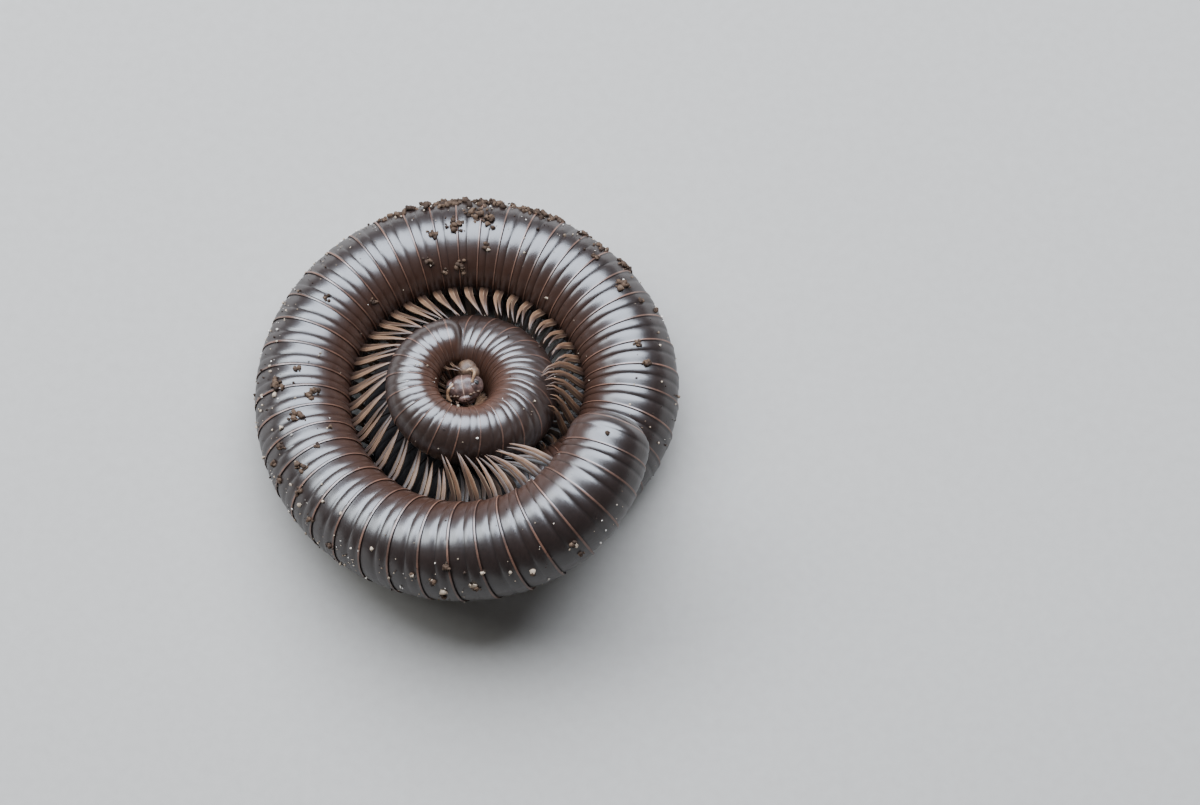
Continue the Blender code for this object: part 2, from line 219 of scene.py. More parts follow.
# %% The stations of the spiral
BODY = 10.0
FLOOR_LEVEL = BODY / 2
ORIGIN_SHIFT = np.array([-0.03, 1.45, -0.35])
# turn in degrees from twelve o'clock, distance from the axis, height and body radius in mm
SPIRAL = (
    (114, 14.9, 15.1, 4.35),
    (138, 15.6, 14.5, 4.75),
    (165, 15.95, 12.7, 4.95),
    (195, 16.1, 10.2, 5.0),
    (225, 16.2, 7.4, 5.0),
    (255, 16.2, 5.6, 5.0),
    (285, 16.1, 5.0, 5.0),
    (330, 15.8, 5.0, 5.0),
    (375, 15.75, 5.0, 5.0),
    (420, 16.1, 5.0, 5.0),
    (450, 16.2, 5.0, 5.0),
    (480, 15.1, 5.0, 4.9),
    (510, 12.7, 4.95, 4.7),
    (540, 10.0, 4.65, 4.5),
    (570, 7.7, 4.5, 4.45),
    (600, 6.35, 4.45, 4.45),
    (630, 5.8, 4.45, 4.4),
    (675, 5.2, 4.5, 4.35),
    (720, 4.95, 5.2, 4.25),
    (765, 5.1, 6.2, 4.2),
    (810, 5.2, 7.9, 4.0),
    (855, 5.05, 10.45, 3.6),
    (900, 4.85, 12.3, 3.2),
    (945, 4.8, 12.9, 3.0),
    (990, 4.8, 13.1, 2.9),
    (1035, 4.6, 13.2, 2.75),
    (1080, 4.3, 13.2, 2.5),
)
LEAN_OUTER = 0.383
LEAN_INNER = 0.14
INNER_SHIFT = (0.05, -1.0)
DIVE = (480, 720)
BELLY_OUTER = 0.92
BELLY_INNER = 0.78
print("spiral from", SPIRAL[0][0], "to", SPIRAL[-1][0], "degrees")

# %% A smooth curve through the stations


def spline_values(turns, values, at):
    """Values of the natural cubic spline through the given points."""
    count = len(turns)
    step = np.diff(turns)
    system = np.zeros((count, count))
    right = np.zeros(count)
    system[0, 0] = system[-1, -1] = 1.0
    for i in range(1, count - 1):
        system[i, i - 1:i + 2] = step[i - 1], 2 * (step[i - 1] + step[i]), step[i]
        change = (values[i + 1] - values[i]) / step[i] - (values[i] - values[i - 1]) / step[i - 1]
        right[i] = 6 * change
    bend = np.linalg.solve(system, right)
    k = np.clip(np.searchsorted(turns, at, side="right") - 1, 0, count - 2)
    width = step[k]
    after = at - turns[k]
    before = turns[k + 1] - at
    cubic = (bend[k] * before**3 + bend[k + 1] * after**3) / (6 * width)
    start = (values[k] / width - bend[k] * width / 6) * before
    return cubic + start + (values[k + 1] / width - bend[k + 1] * width / 6) * after


def smooth_step(low, high, at):
    share = np.clip((at - low) / (high - low), 0.0, 1.0)
    return share * share * (3 - 2 * share)


def unit(rows):
    return rows / np.linalg.norm(rows, axis=-1, keepdims=True)


# %% The centre line with its directions
TURN_STEP = 1.0

stations = np.array(SPIRAL, float)
turn = np.arange(stations[0, 0], stations[-1, 0] + TURN_STEP / 2, TURN_STEP)
distance = spline_values(stations[:, 0], stations[:, 1], turn)
height = spline_values(stations[:, 0], stations[:, 2], turn)
girth = spline_values(stations[:, 0], stations[:, 3], turn)
innerness = smooth_step(*DIVE, turn)
lean = LEAN_OUTER + (LEAN_INNER - LEAN_OUTER) * innerness
line = np.stack([
    distance * np.sin(np.radians(turn)) + INNER_SHIFT[0] * innerness,
    distance * np.cos(np.radians(turn)) - lean * (height - FLOOR_LEVEL) + INNER_SHIFT[1] * innerness,
    height,
], 1) + ORIGIN_SHIFT
belly = BELLY_OUTER + (BELLY_INNER - BELLY_OUTER) * innerness
length = np.concatenate([[0.0], np.cumsum(np.linalg.norm(np.diff(line, axis=0), axis=1))])
ahead = unit(np.gradient(line, length, axis=0))
back = unit(np.cross([0.0, 0.0, 1.0], ahead))
side = unit(np.cross(ahead, back))
print(len(line), "points on the centre line")

# %% [markdown]
# ## The tail's end
# Behind the first station the body goes on straight for a few millimetres and closes as a
# rounded hood, so the line is lengthened backwards and its girth shrinks there.

# %% Lengthen the line backwards
# distance behind the first station in mm, share of its girth
HOOD = ((-3.0, 0.70), (-2.7, 0.79), (-2.2, 0.90), (-1.6, 0.96), (-1.0, 0.985), (-0.3, 0.995))
TAIL_STEP = 0.1

hood = np.array(HOOD)
behind = np.arange(hood[0, 0], 0.0, TAIL_STEP)
line = np.concatenate([line[0] + ahead[0] * behind[:, None], line])
girth = np.concatenate([girth[0] * np.interp(behind, hood[:, 0], hood[:, 1]), girth])
belly = np.concatenate([np.full(len(behind), belly[0]), belly])
ahead = np.concatenate([np.repeat(ahead[:1], len(behind), 0), ahead])
back = np.concatenate([np.repeat(back[:1], len(behind), 0), back])
side = np.concatenate([np.repeat(side[:1], len(behind), 0), side])
turn = np.concatenate([turn[0] + behind, turn])
length = np.concatenate([behind, length])
print("tail hood reaches", round(-length[0], 1), "mm behind the first station")

# %% Read the line anywhere


def along(rows, at):
    """Any of the line's rows, read at distances along the body in mm."""
    if rows.ndim == 1:
        return np.interp(at, length, rows)
    return np.stack([np.interp(at, length, rows[:, i]) for i in range(3)], -1)


print("the body is", round(length[-1], 1), "mm along its middle")

# %% [markdown]
# ## Where one ring ends and the next begins
# The rings get slightly shorter from the tail onwards. Those of the inner coil take up a wider
# angle, because the coil there is small. The same rule as in the solids gives the joints.

# %% Find the joints between the rings
TAIL_START = 123.0
PITCH_TURNS = (123, 190, 250, 360, 480)
PITCH_OUTER = (9.5, 8.9, 8.35, 8.15, 7.9)
PITCH_INNER = 16.7
RINGS = 84


def ring_joints():
    turns = [TAIL_START]
    for _ in range(RINGS):
        outer = float(np.interp(turns[-1], PITCH_TURNS, PITCH_OUTER))
        widening = (PITCH_INNER - outer) * float(smooth_step(*DIVE, turns[-1]))
        turns.append(turns[-1] + outer + widening)
    return np.array(turns)


joint_turns = ring_joints()
joints = np.interp(joint_turns, turn, length)
# the two tail rings start here, in mm from the first station
TAIL_JOINTS = (-2.75, 0.2)
tail_joints = [*TAIL_JOINTS, joints[0]]
print(RINGS, "rings,", np.diff(joints).min().round(2), "to", np.diff(joints).max().round(2), "mm long")

# %% [markdown]
# ## One ring
# A ring of a millipede is a hard tube. Its rear half is a little wider and ends in a thin pale
# rim. Its front half is narrower and slides under the rim of the ring before it, and a fine
# groove, the suture, runs round between the halves. One cylinder is cut into bands by bisecting
# it, each band's edge is scaled to the profile, and both ends are sunk inwards, so that the rim
# stands over the next ring as a real edge.

# %% Model the ring once
RING_RADIUS = 5.0
RING_LONG = 2.4
RING_SIDES = 72
# place along the ring, 0 at the rear rim and 1 where the next ring starts, and share of radius
RING_PROFILE = (
    (0.020, 1.005),
    (0.060, 1.006),
    (0.080, 0.993),
    (0.11, 0.991),
    (0.19, 0.999),
    (0.29, 1.002),
    (0.38, 1.000),
    (0.44, 0.990),
    (0.465, 0.978),
    (0.485, 0.981),
    (0.55, 0.992),
    (0.66, 0.996),
    (0.78, 0.992),
    (0.90, 0.984),
    (1.0, 0.978),
)
RING_OVERLAP = 1.14
RING_NECK = 0.975
RIM_THICK = 0.12
RIM_DEEP = 0.10
# points this near to a height, in metres, are on it, and faces that lie this flat are ends
LEVEL_NEAR = 1e-7
END_FLATNESS = 0.99


def choose(obj):
    """Makes this the one selected and active object."""
    bpy.ops.object.select_all(action="DESELECT")
    obj.select_set(True)
    bpy.context.view_layer.objects.active = obj


def start_editing(obj):
    choose(obj)
    bpy.ops.object.mode_set(mode="EDIT")
    bpy.ops.mesh.select_all(action="SELECT")


def select_level(obj, height):
    """Selects the loop of points at this height."""
    bpy.ops.mesh.select_all(action="DESELECT")
    bpy.ops.object.mode_set(mode="OBJECT")
    for vertex in obj.data.vertices:
        vertex.select = abs(vertex.co.z - height) < LEVEL_NEAR
    bpy.ops.object.mode_set(mode="EDIT")


def cut_bands(obj, bands):
    """Cuts the shape across at each height, then moves and scales the new edge loops."""
    start_editing(obj)
    for height, _share, _shift in bands:
        bpy.ops.mesh.select_all(action="SELECT")
        bpy.ops.mesh.bisect(plane_co=(0, 0, height * MM), plane_no=(0, 0, 1))
    bpy.ops.mesh.select_mode(type="VERT")
    for height, share, shift in bands:
        select_level(obj, height * MM)
        bpy.ops.transform.resize(value=(share, share, 1))
        bpy.ops.transform.translate(value=(shift * MM, 0, 0))


def select_end(obj, upward):
    """Selects the flat end face that looks up or down."""
    bpy.ops.object.mode_set(mode="OBJECT")
    for face in obj.data.polygons:
        face.select = face.normal.z * upward > END_FLATNESS and len(face.vertices) > 4
    for edge in obj.data.edges:
        edge.select = False
    for vertex in obj.data.vertices:
        vertex.select = False
    bpy.ops.object.mode_set(mode="EDIT")
    bpy.ops.mesh.select_mode(type="FACE")


def new_cylinder(name, sides, radius, depth):
    bpy.ops.object.select_all(action="DESELECT")
    bpy.ops.mesh.primitive_cylinder_add(
        vertices=sides, radius=radius, depth=depth, end_fill_type="NGON", location=(0, 0, depth / 2))
    obj = bpy.context.object
    obj.name = name
    bpy.ops.object.transform_apply(location=True, rotation=True, scale=True)
    return obj


ring = new_cylinder("ring_pattern", RING_SIDES, RING_RADIUS * MM, RING_LONG * RING_OVERLAP * MM)
cut_bands(ring, [(place * RING_LONG, share, 0) for place, share in RING_PROFILE])
select_end(ring, 1)
bpy.ops.transform.resize(value=(RING_NECK, RING_NECK, 1))
select_end(ring, -1)
bpy.ops.mesh.inset(thickness=RIM_THICK * MM)
bpy.ops.transform.translate(value=(0, 0, RIM_DEEP * MM))
bpy.ops.object.mode_set(mode="OBJECT")
print("ring pattern:", len(ring.data.polygons), "faces")

# %% [markdown]
# ## Eighty-four rings along the spiral
# Each ring is a copy with its own mesh, bent into place: a point's height in the pattern becomes
# its distance along the body, and its place round the axis becomes its place round the back and
# the flatter belly. Real rings aren't all alike, so each is a hair wider or narrower. A curve
# modifier could bend one long tube as well, but it would stretch the rings. Four attributes are
# kept on every point for the finish: where it lies along its ring, how near the back, its place
# on the straight ring, and the ring's number.

# %% Bend a pattern onto the body
rng = random.Random(38)
# number of the ring in the middle, how many rings to each side, and the flare there
FLARES = ((1, 4, 0.030), (40, 4, 0.026))
RING_VARIES = 0.003
# how far apart the rings lie in the space that their noises are read in
RING_APART = 7.3


def points_of(mesh):
    rows = np.empty(len(mesh.vertices) * 3)
    mesh.vertices.foreach_get("co", rows)
    return rows.reshape(-1, 3)


def set_points(mesh, rows):
    mesh.vertices.foreach_set("co", np.ascontiguousarray(rows, float).ravel())
    mesh.update()


def mark(mesh, name, kind, rows):
    layer = mesh.attributes.new(name, kind, "POINT")
    layer.data.foreach_set("vector" if kind == "FLOAT_VECTOR" else "value", np.ravel(rows))


def on_body(at, outward, sideways):
    """Points at these distances along the body, outwards and sideways in shares of its radius."""
    radius = along(girth, at)[:, None]
    outward = np.where(outward < 0, outward * along(belly, at), outward)[:, None]
    reach = unit(along(back, at)) * outward * radius + unit(along(side, at)) * sideways[:, None] * radius
    return along(line, at) + reach


def flare_of(number):
    """How much wider a ring's rear is than its front, most at the tail and where the body dives."""
    return sum(most * math.exp(-((number - middle) / spread) ** 2) for middle, spread, most in FLARES)


def bent_ring(name, number, rear, front, flare):
    copy = bpy.data.objects.new(name, ring.data.copy())
    bpy.context.collection.objects.link(copy)
    rows = points_of(copy.data) / MM
    share = rows[:, 2] / RING_LONG
    swell = 1 + rng.uniform(-RING_VARIES, RING_VARIES) + flare * (0.5 - share)
    around = rows[:, :2] / RING_RADIUS * swell[:, None]
    at = rear + share * (front - rear)
    placed = on_body(at, around[:, 0], around[:, 1])
    placed[:, 2] = np.maximum(placed[:, 2], 0.0)
    set_points(copy.data, placed * MM)
    mark(copy.data, "ring_along", "FLOAT", share)
    mark(copy.data, "ring_back", "FLOAT", unit(around)[:, 0])
    mark(copy.data, "ring_space", "FLOAT_VECTOR", rows + [0, 0, number * RING_APART])
    mark(copy.data, "ring_number", "FLOAT", np.full(len(rows), float(number)))
    return copy


def join(name, objects):
    bpy.ops.object.select_all(action="DESELECT")
    for obj in objects:
        obj.select_set(True)
    bpy.context.view_layer.objects.active = objects[0]
    bpy.ops.object.join()
    joined = bpy.context.object
    joined.name = name
    joined.data.name = name
    return joined


# %% Thread the rings
# the shell is three pieces, each with its first ring and the one after its last
SHELL_PIECES = (("shell_outer_turn", 0, 44), ("shell_crossing", 44, 60), ("shell_inner_coil", 60, RINGS))
# the tail rings and the valves have numbers past those of the full rings
TAIL_NUMBER = 90
VALVE_NUMBER = 95
TAIL_FLARE = 0.01

shells = []
for name, first, last in SHELL_PIECES:
    rings = [bent_ring(f"ring_{i}", i, joints[i], joints[i + 1], flare_of(i)) for i in range(first, last)]
    shells.append(join(name, rings))
    print(name, len(shells[-1].data.polygons), "faces")
rings = []
for i, start in enumerate(TAIL_JOINTS):
    rings.append(bent_ring(f"tail_{i}", TAIL_NUMBER + i, start, tail_joints[i + 1], TAIL_FLARE))
tail_shell = join("tail_rings", rings)
shells.append(tail_shell)
print("tail_rings", len(tail_shell.data.polygons), "faces")
bpy.data.objects.remove(ring)

# %% [markdown]
# ## The two valves that close the tail
# The last ring holds two domed valves side by side, with a slit between them and a raised lip
# along each slit. Each is one half of a sphere: the sphere is bisected and the cut filled, the
# flat face is inset and pushed out as the lip, and the dome is flattened and set into the hood.

# %% Model the valves
VALVE_RADIUS = 3.3
VALVE_DEEP = 1.25
VALVE_GAP = 0.05
VALVE_FOOT = -2.6
VALVE_BELLY = 0.90
VALVE_INSIDE = 0.3
# width and height of the lip along the slit, in shares of the valve's radius
VALVE_LIP = (0.06, 0.03)


def new_ball(name, sides, rings):
    bpy.ops.object.select_all(action="DESELECT")
    bpy.ops.mesh.primitive_uv_sphere_add(segments=sides, ring_count=rings, radius=1.0 * MM)
    obj = bpy.context.object
    obj.name = name
    return obj


def finish_editing():
    bpy.ops.mesh.select_all(action="SELECT")
    bpy.ops.mesh.normals_make_consistent(inside=False)
    bpy.ops.object.mode_set(mode="OBJECT")


def set_in_place(obj, rows):
    """Moves a piece's points from its own axes to their place, given as four rows in mm."""
    points = points_of(obj.data) / MM
    axes = np.array(rows[:3], float)
    set_points(obj.data, (points @ axes + np.array(rows[3], float)) * MM)


def valve(name, upward):
    obj = new_ball(name, 40, 24)
    start_editing(obj)
    bpy.ops.mesh.bisect(plane_co=(0, 0, 0), plane_no=(0, 0, 1), clear_inner=True, use_fill=True)
    bpy.ops.mesh.inset(thickness=VALVE_LIP[0] * MM)
    bpy.ops.mesh.extrude_region_move(TRANSFORM_OT_translate={"value": (0, 0, -VALVE_LIP[1] * MM)})
    finish_editing()
    points = points_of(obj.data)
    # x runs along the slit, y out of the body, z away from the slit
    points[:, 1] *= np.where(points[:, 1] > 0, VALVE_DEEP, VALVE_INSIDE)
    points[:, 0] *= VALVE_RADIUS * np.where(points[:, 0] > 0, 1.0, VALVE_BELLY)
    points[:, 2] *= VALVE_RADIUS
    set_points(obj.data, points)
    depth = points[:, 1] / MM
    mark(obj.data, "ring_along", "FLOAT", 0.9 - depth / VALVE_DEEP * 0.3)
    mark(obj.data, "ring_back", "FLOAT", points[:, 0] / MM / VALVE_RADIUS)
    mark(obj.data, "ring_space", "FLOAT_VECTOR", points / MM)
    mark(obj.data, "ring_number", "FLOAT", np.full(len(points), float(VALVE_NUMBER)))
    way = side[0] if (side[0][2] > 0) == upward else -side[0]
    base = along(line, VALVE_FOOT) + way * VALVE_GAP
    set_in_place(obj, [back[0], -ahead[0], way, base])
    return obj


valves = [valve("anal_valve_right_dome", True), valve("anal_valve_left_dome", False)]
# one of them is mirrored into its place, so the faces of both are turned outwards again
for dome in valves:
    start_editing(dome)
    finish_editing()
print("valves:", [len(dome.data.polygons) for dome in valves], "faces")

# %% [markdown]
# ## The look of the shell
# The cuticle is almost black on the back and turns chestnut towards the belly, under a clear
# waxy gloss. Each ring has a thin brown rim with a dark line beside it. Fine lengthwise
# scratches are strongest towards the belly, where the gloss is weaker, as it is on the outermost
# line of the coil, and small dark pits are strewn over it all. Bands could be painted by hand
# on an unwrapped ring, but the kept attributes give them on every ring at once.

# %% Finish: glossy brown-black cuticle
NEARLY_BLACK = (0.004, 0.003, 0.003)
# how steep the shell's faces may meet and still look smooth, in degrees
SHELL_SMOOTH = 38


def shell_finish(name, back_colour, flank_colour, rim_colour):
    look = Finish(name, 0.36, 0.35, 0.5, 0.28)
    look.set("Coat IOR", 1.85)
    place = look.node("ShaderNodeAttribute", {"attribute_name": "ring_along"}, output=2)
    backness = look.node("ShaderNodeAttribute", {"attribute_name": "ring_back"}, output=2)
    number = look.node("ShaderNodeAttribute", {"attribute_name": "ring_number"}, output=2)
    space = look.node("ShaderNodeAttribute", {"attribute_name": "ring_space"}, output=1)
    coarse = {"Vector": space, "Scale": 0.35, "Detail": 4.0, "Roughness": 0.6}
    cloud = look.node("ShaderNodeTexNoise", {}, coarse)
    close = {"Vector": space, "Scale": 5.0, "Detail": 4.0, "Roughness": 0.65}
    fine = look.node("ShaderNodeTexNoise", {}, close)
    lengthwise = look.node("ShaderNodeVectorMath", {"operation": "MULTIPLY"}, {0: space, 1: (7.0, 7.0, 0.25)})
    striae = look.node("ShaderNodeTexNoise", {}, {"Vector": lengthwise, "Scale": 1.0, "Detail": 2.0})
    specks = look.node("ShaderNodeTexVoronoi", {}, {"Vector": space, "Scale": 0.9, "Randomness": 1.0})
    low = 1 - look.between(backness, -0.9, 0.15)
    colour = look.blend(low + (cloud - 0.5) * 0.5, back_colour, flank_colour)
    colour = look.blend(fine * 0.3, colour, tuple(value * 1.6 for value in flank_colour))
    rim = look.between(place, 0.0, 0.012) * (1 - look.between(place, 0.055, 0.075))
    rim = rim * look.between(fine + low * 0.3, 0.15, 0.5)
    rim_shade = tuple(value * 0.45 for value in rim_colour)
    pale = look.blend(look.between(cloud, 0.35, 0.65), rim_shade, rim_colour)
    colour = look.blend(rim * 0.8, colour, pale)
    # the groove and the suture are dark joint lines; the ring's front, where it slides under the next ring's
    # rim, gets painted shade
    groove = look.between(place, 0.07, 0.085) * (1 - look.between(place, 0.095, 0.13))
    suture = look.between(place, 0.44, 0.465) * (1 - look.between(place, 0.47, 0.50))
    shade_under_rim = look.between(place, 0.965, 1.0)
    dark = groove * 0.45 + suture * 0.45 + shade_under_rim * 0.6
    colour = look.blend(dark, colour, NEARLY_BLACK)
    pits = 1 - look.between(specks, 0.05, 0.085)
    colour = look.blend(pits, colour, NEARLY_BLACK)
    # painted shade: the rings below the tail get hardly any light, so they are painted near black and mirror
    # nothing
    shade_below_tail = look.between(number, 43.5, 47.0) * (1 - look.between(number, 57.0, 60.0))
    colour = look.blend(shade_below_tail * 0.9, colour, NEARLY_BLACK)
    look.set("Base Color", colour)
    dull = shade_below_tail * 0.45 + low * 0.12 + look.between(backness, 0.45, 0.95) * 0.16
    grain = (fine - 0.4) * 0.25 + (striae - 0.5) * 0.22
    look.set("Roughness", 0.34 + grain + pits * 0.4 + rim * 0.1 + dull)
    look.set("Coat Weight", 0.9 - shade_below_tail * 0.9 - low * 0.5 - look.between(backness, 0.5, 0.95) * 0.6)
    relief = (fine - 0.5) * 0.4 + (striae - 0.5) * (0.3 + low * 0.8) - pits * 1.5
    look.bump(relief, 0.35, 0.00006)
    return look.material


def dress(obj, material, angle=None):
    """Gives a piece its material and, where an angle is given, smooth shading up to it."""
    obj.data.materials.clear()
    obj.data.materials.append(material)
    if angle:
        choose(obj)
        bpy.ops.object.shade_smooth_by_angle(angle=math.radians(angle))


RIM_BROWN = (0.20, 0.095, 0.060)
cuticle = shell_finish("brown_black_cuticle", (0.007, 0.005, 0.005), (0.040, 0.017, 0.010), RIM_BROWN)
cuticle_inner = shell_finish("chestnut_cuticle", (0.009, 0.006, 0.005), (0.072, 0.030, 0.017), RIM_BROWN)
for shell, material in zip(shells + valves, (cuticle, cuticle, cuticle_inner, cuticle, cuticle, cuticle)):
    dress(shell, material, SHELL_SMOOTH)
print("shell finished")

# %% [markdown]
# ## One leg
# A millipede's leg is short, flat and pointed, with seven pieces that narrow towards the claw.
# It is repeated some two hundred and fifty times, so here it is one six-sided rod, bisected and
# pinched at three joints and drawn to a point, and it stays at a few dozen faces.

# %% Model the leg once
LEG_WIDE = 0.47
LEG_FLAT = 0.36
LEG_SIDES = 6
# place along the leg and width there
LEG_PROFILE = (
    (0.10, 0.96),
    (0.24, 1.00),
    (0.27, 0.90),
    (0.30, 0.98),
    (0.48, 0.94),
    (0.51, 0.83),
    (0.54, 0.89),
    (0.70, 0.74),
    (0.73, 0.63),
    (0.76, 0.67),
    (0.90, 0.38),
)
LEG_TIP = 0.08

leg_pattern = new_cylinder("leg_pattern", LEG_SIDES, 0.5 * MM, 1.0 * MM)
cut_bands(leg_pattern, [(place, width, 0) for place, width in LEG_PROFILE])
select_end(leg_pattern, 1)
bpy.ops.transform.resize(value=(LEG_TIP, LEG_TIP, 1))
bpy.ops.object.mode_set(mode="OBJECT")
print("leg pattern:", len(leg_pattern.data.polygons), "faces")

# %% [markdown]
# ## The legs in their rows
# Every full ring carries two pairs of legs on its belly, and the belly faces the middle of the
# coil. The small inner coil mostly hides its legs, so one pair a ring is enough there. A leg
# leaves the belly, arches away from the middle of the row and sweeps forward to its tip. Where
# another turn of the body is in the way it folds shorter or arches higher, much as in the
# solids. Setting each by hand would take days, and a rule also keeps them out of the shell.

# %% Find each leg's way
HEAD_AT = np.array([0.0, -2.25, 12.75])
HEAD_ROOM = 1.9
LEG_JOINTS = (0.0, 0.2, 0.38, 0.55, 0.72, 0.88, 1.0)
LEG_REACH = 4.3
LEG_REACH_INNER = 1.5
LEG_SINK = 0.6
LEG_SPREAD = 0.12
LEG_CLEAR = 0.12
LEG_TURN_INNER = 500
PIT_TURNS = (760, 1030)
PIT_SPREADS = (0.05, 0.38)
LEG_RISES = (0.8, 1.4, 2.0, 2.6, 3.2, 3.8, 4.4, 5.0, 5.6, 6.2)
LEG_STEEPS = (1.0, 1.5, 2.0)
LEG_FOLDS = (1.0, 0.9, 0.8, 0.7, 0.6, 0.5, 0.4, 0.3, 0.2, 0.12)
# a leg is folded a little before it may arch high
TRIED_FIRST = 5
LEG_TRIES = [(fold, rise) for fold in LEG_FOLDS[:TRIED_FIRST] for rise in LEG_RISES[:TRIED_FIRST]]
LEG_TRIES += [(fold, rise) for fold in LEG_FOLDS for rise in LEG_RISES]
LEG_SWEEP = 0.30
LEG_SWEEP_VARIES = 0.10
LEG_REACH_VARIES = 0.05
# turns of the body farther off than this, in degrees, may be in a leg's way, and each of their
# stations stands for this much of the body to both sides, in mm
OTHER_TURN = 60
STATION_REACH = 0.8


def at_turn(rows, degrees):
    return along(rows, np.interp(degrees, turn, length))


def leg_route(degrees, upper, reach, rise, steep, sweep):
    """Points of one leg from inside the belly to its tip."""
    centre = at_turn(line, degrees)
    forward, outward, away = [unit(at_turn(rows, degrees)) for rows in (ahead, back, side)]
    if (away[2] > 0) != upper:
        away = -away
    spread = LEG_SPREAD
    if PIT_TURNS[0] < degrees < PIT_TURNS[1]:
        # round the pit that holds the head both rows hang down
        away = away if away[2] < 0 else -away
        spread = PIT_SPREADS[0] if upper else PIT_SPREADS[1]
    radius = at_turn(girth, degrees)
    root = centre - outward * (at_turn(belly, degrees) * radius - LEG_SINK) + away * (spread * radius)
    route = []
    for share in LEG_JOINTS:
        inward = -outward * (LEG_SINK * (share > 0) + reach * share**steep)
        arch = away * (rise * math.sin(share * math.pi * 0.56))
        route.append(root + inward + arch + forward * (reach * sweep * share * share))
    return np.array(route), forward


def clearance(points, degrees):
    """Least distance from the points to the body's other turns and to the head."""
    other = np.abs(turn - degrees) > OTHER_TURN
    away = points[:, None] - line[None, other]
    forward = np.einsum("ijk,jk->ij", away, ahead[other])
    outward = np.einsum("ijk,jk->ij", away, back[other])
    sideways = np.einsum("ijk,jk->ij", away, side[other])
    outward = np.where(outward < 0, outward / belly[other], outward)
    reach = np.where(np.abs(forward) < STATION_REACH, np.hypot(outward, sideways) - girth[other], np.inf)
    from_head = np.linalg.norm(points - (HEAD_AT + ORIGIN_SHIFT), axis=1) - HEAD_ROOM
    return min(reach.min(), from_head.min())


def clear_route(degrees, upper):
    full = LEG_REACH_INNER if degrees > LEG_TURN_INNER else LEG_REACH
    sweep = LEG_SWEEP + rng.uniform(-LEG_SWEEP_VARIES, LEG_SWEEP_VARIES)
    full *= 1 + rng.uniform(-LEG_REACH_VARIES, LEG_REACH_VARIES)
    for fold, rise in LEG_TRIES:
        for steep in LEG_STEEPS:
            route, forward = leg_route(degrees, upper, full * fold, rise, steep, sweep)
            free = route[1:]
            room = LEG_CLEAR + LEG_FLAT / 2
            if free[:, 2].min() > room and clearance(free, degrees) > room:
                return route, forward
    return None, None


print(len(LEG_TRIES) * len(LEG_STEEPS), "ways to try for each leg")


# %% Bend a straight pattern along a way


def smooth_way(points, count=24):
    """A smooth line through a few points."""
    points = np.array(points, float)
    at = np.linspace(0, len(points) - 1, count)
    knots = np.arange(len(points), dtype=float)
    return np.stack([spline_values(knots, points[:, i], at) for i in range(3)], 1)


def bend_along(rows, way, across):
    """Lays points along a way: z from 0 to 1 runs along it, x lies across and y stands up."""
    steps = np.concatenate([[0.0], np.cumsum(np.linalg.norm(np.diff(way, axis=0), axis=1))])
    headings = unit(np.gradient(way, steps, axis=0))
    at = rows[:, 2] * steps[-1]
    centre = np.stack([np.interp(at, steps, way[:, i]) for i in range(3)], -1)
    heading = unit(np.stack([np.interp(at, steps, headings[:, i]) for i in range(3)], -1))
    flat = unit(across - heading * (heading @ across)[:, None])
    return centre + flat * rows[:, :1] + np.cross(heading, flat) * rows[:, 1:2]


# %% Set the legs
# rings with two pairs each, and the places of the pairs on their ring there and in the coil
OUTER_RINGS = 45
PAIR_PLACES = (0.36, 0.64)
PAIR_PLACES_INNER = (0.5,)
# a short leg is slim too: its share of the full width is the first number plus its length
# divided by the second, at most 1
LEG_SLIMMEST = 0.35
LEG_SLIM_FROM = 4.0
# legs with a number above this stand next to the head, and are finer than the others and painted darker, as
# shade
LEG_HEAD_NUMBER = 152
LEG_HEAD_SIZE = 0.6


def bent_leg(name, way, forward, number):
    copy = bpy.data.objects.new(name, leg_pattern.data.copy())
    bpy.context.collection.objects.link(copy)
    rows = points_of(copy.data) / MM
    reach = np.linalg.norm(np.diff(way, axis=0), axis=1).sum()
    size = min(1.0, LEG_SLIMMEST + reach / LEG_SLIM_FROM)
    if number > LEG_HEAD_NUMBER:
        size *= LEG_HEAD_SIZE
    mark(copy.data, "leg_along", "FLOAT", rows[:, 2])
    mark(copy.data, "leg_across", "FLOAT", rows[:, 0] * 2)
    mark(copy.data, "leg_number", "FLOAT", np.full(len(rows), float(number)))
    # painted shade on the second leg of each pair, in the shade of the first, and on the legs next to the
    # head
    shaded = number % 1 > 0.5 or number > LEG_HEAD_NUMBER
    mark(copy.data, "leg_painted_shade", "FLOAT", np.full(len(rows), float(shaded)))
    rows *= [LEG_WIDE * size, LEG_FLAT * size, 1.0]
    set_points(copy.data, bend_along(rows, smooth_way(way), forward) * MM)
    return copy


def leg_row(name, upper, first, last, places):
    legs = []
    for i in range(first, last):
        for share in places:
            degrees = joint_turns[i] + (joint_turns[i + 1] - joint_turns[i]) * share
            route, forward = clear_route(degrees, upper)
            if route is not None:
                legs.append(bent_leg(f"{name}_{len(legs)}", route, forward, i * 2 + share))
    print(name, len(legs), "legs")
    return join(name, legs)


leg_rows = [
    leg_row("legs_outer_upper", True, 0, OUTER_RINGS, PAIR_PLACES),
    leg_row("legs_outer_lower", False, 0, OUTER_RINGS, PAIR_PLACES),
    leg_row("legs_inner_upper", True, OUTER_RINGS, RINGS, PAIR_PLACES_INNER),
    leg_row("legs_inner_lower", False, OUTER_RINGS, RINGS, PAIR_PLACES_INNER),
]
bpy.data.objects.remove(leg_pattern)

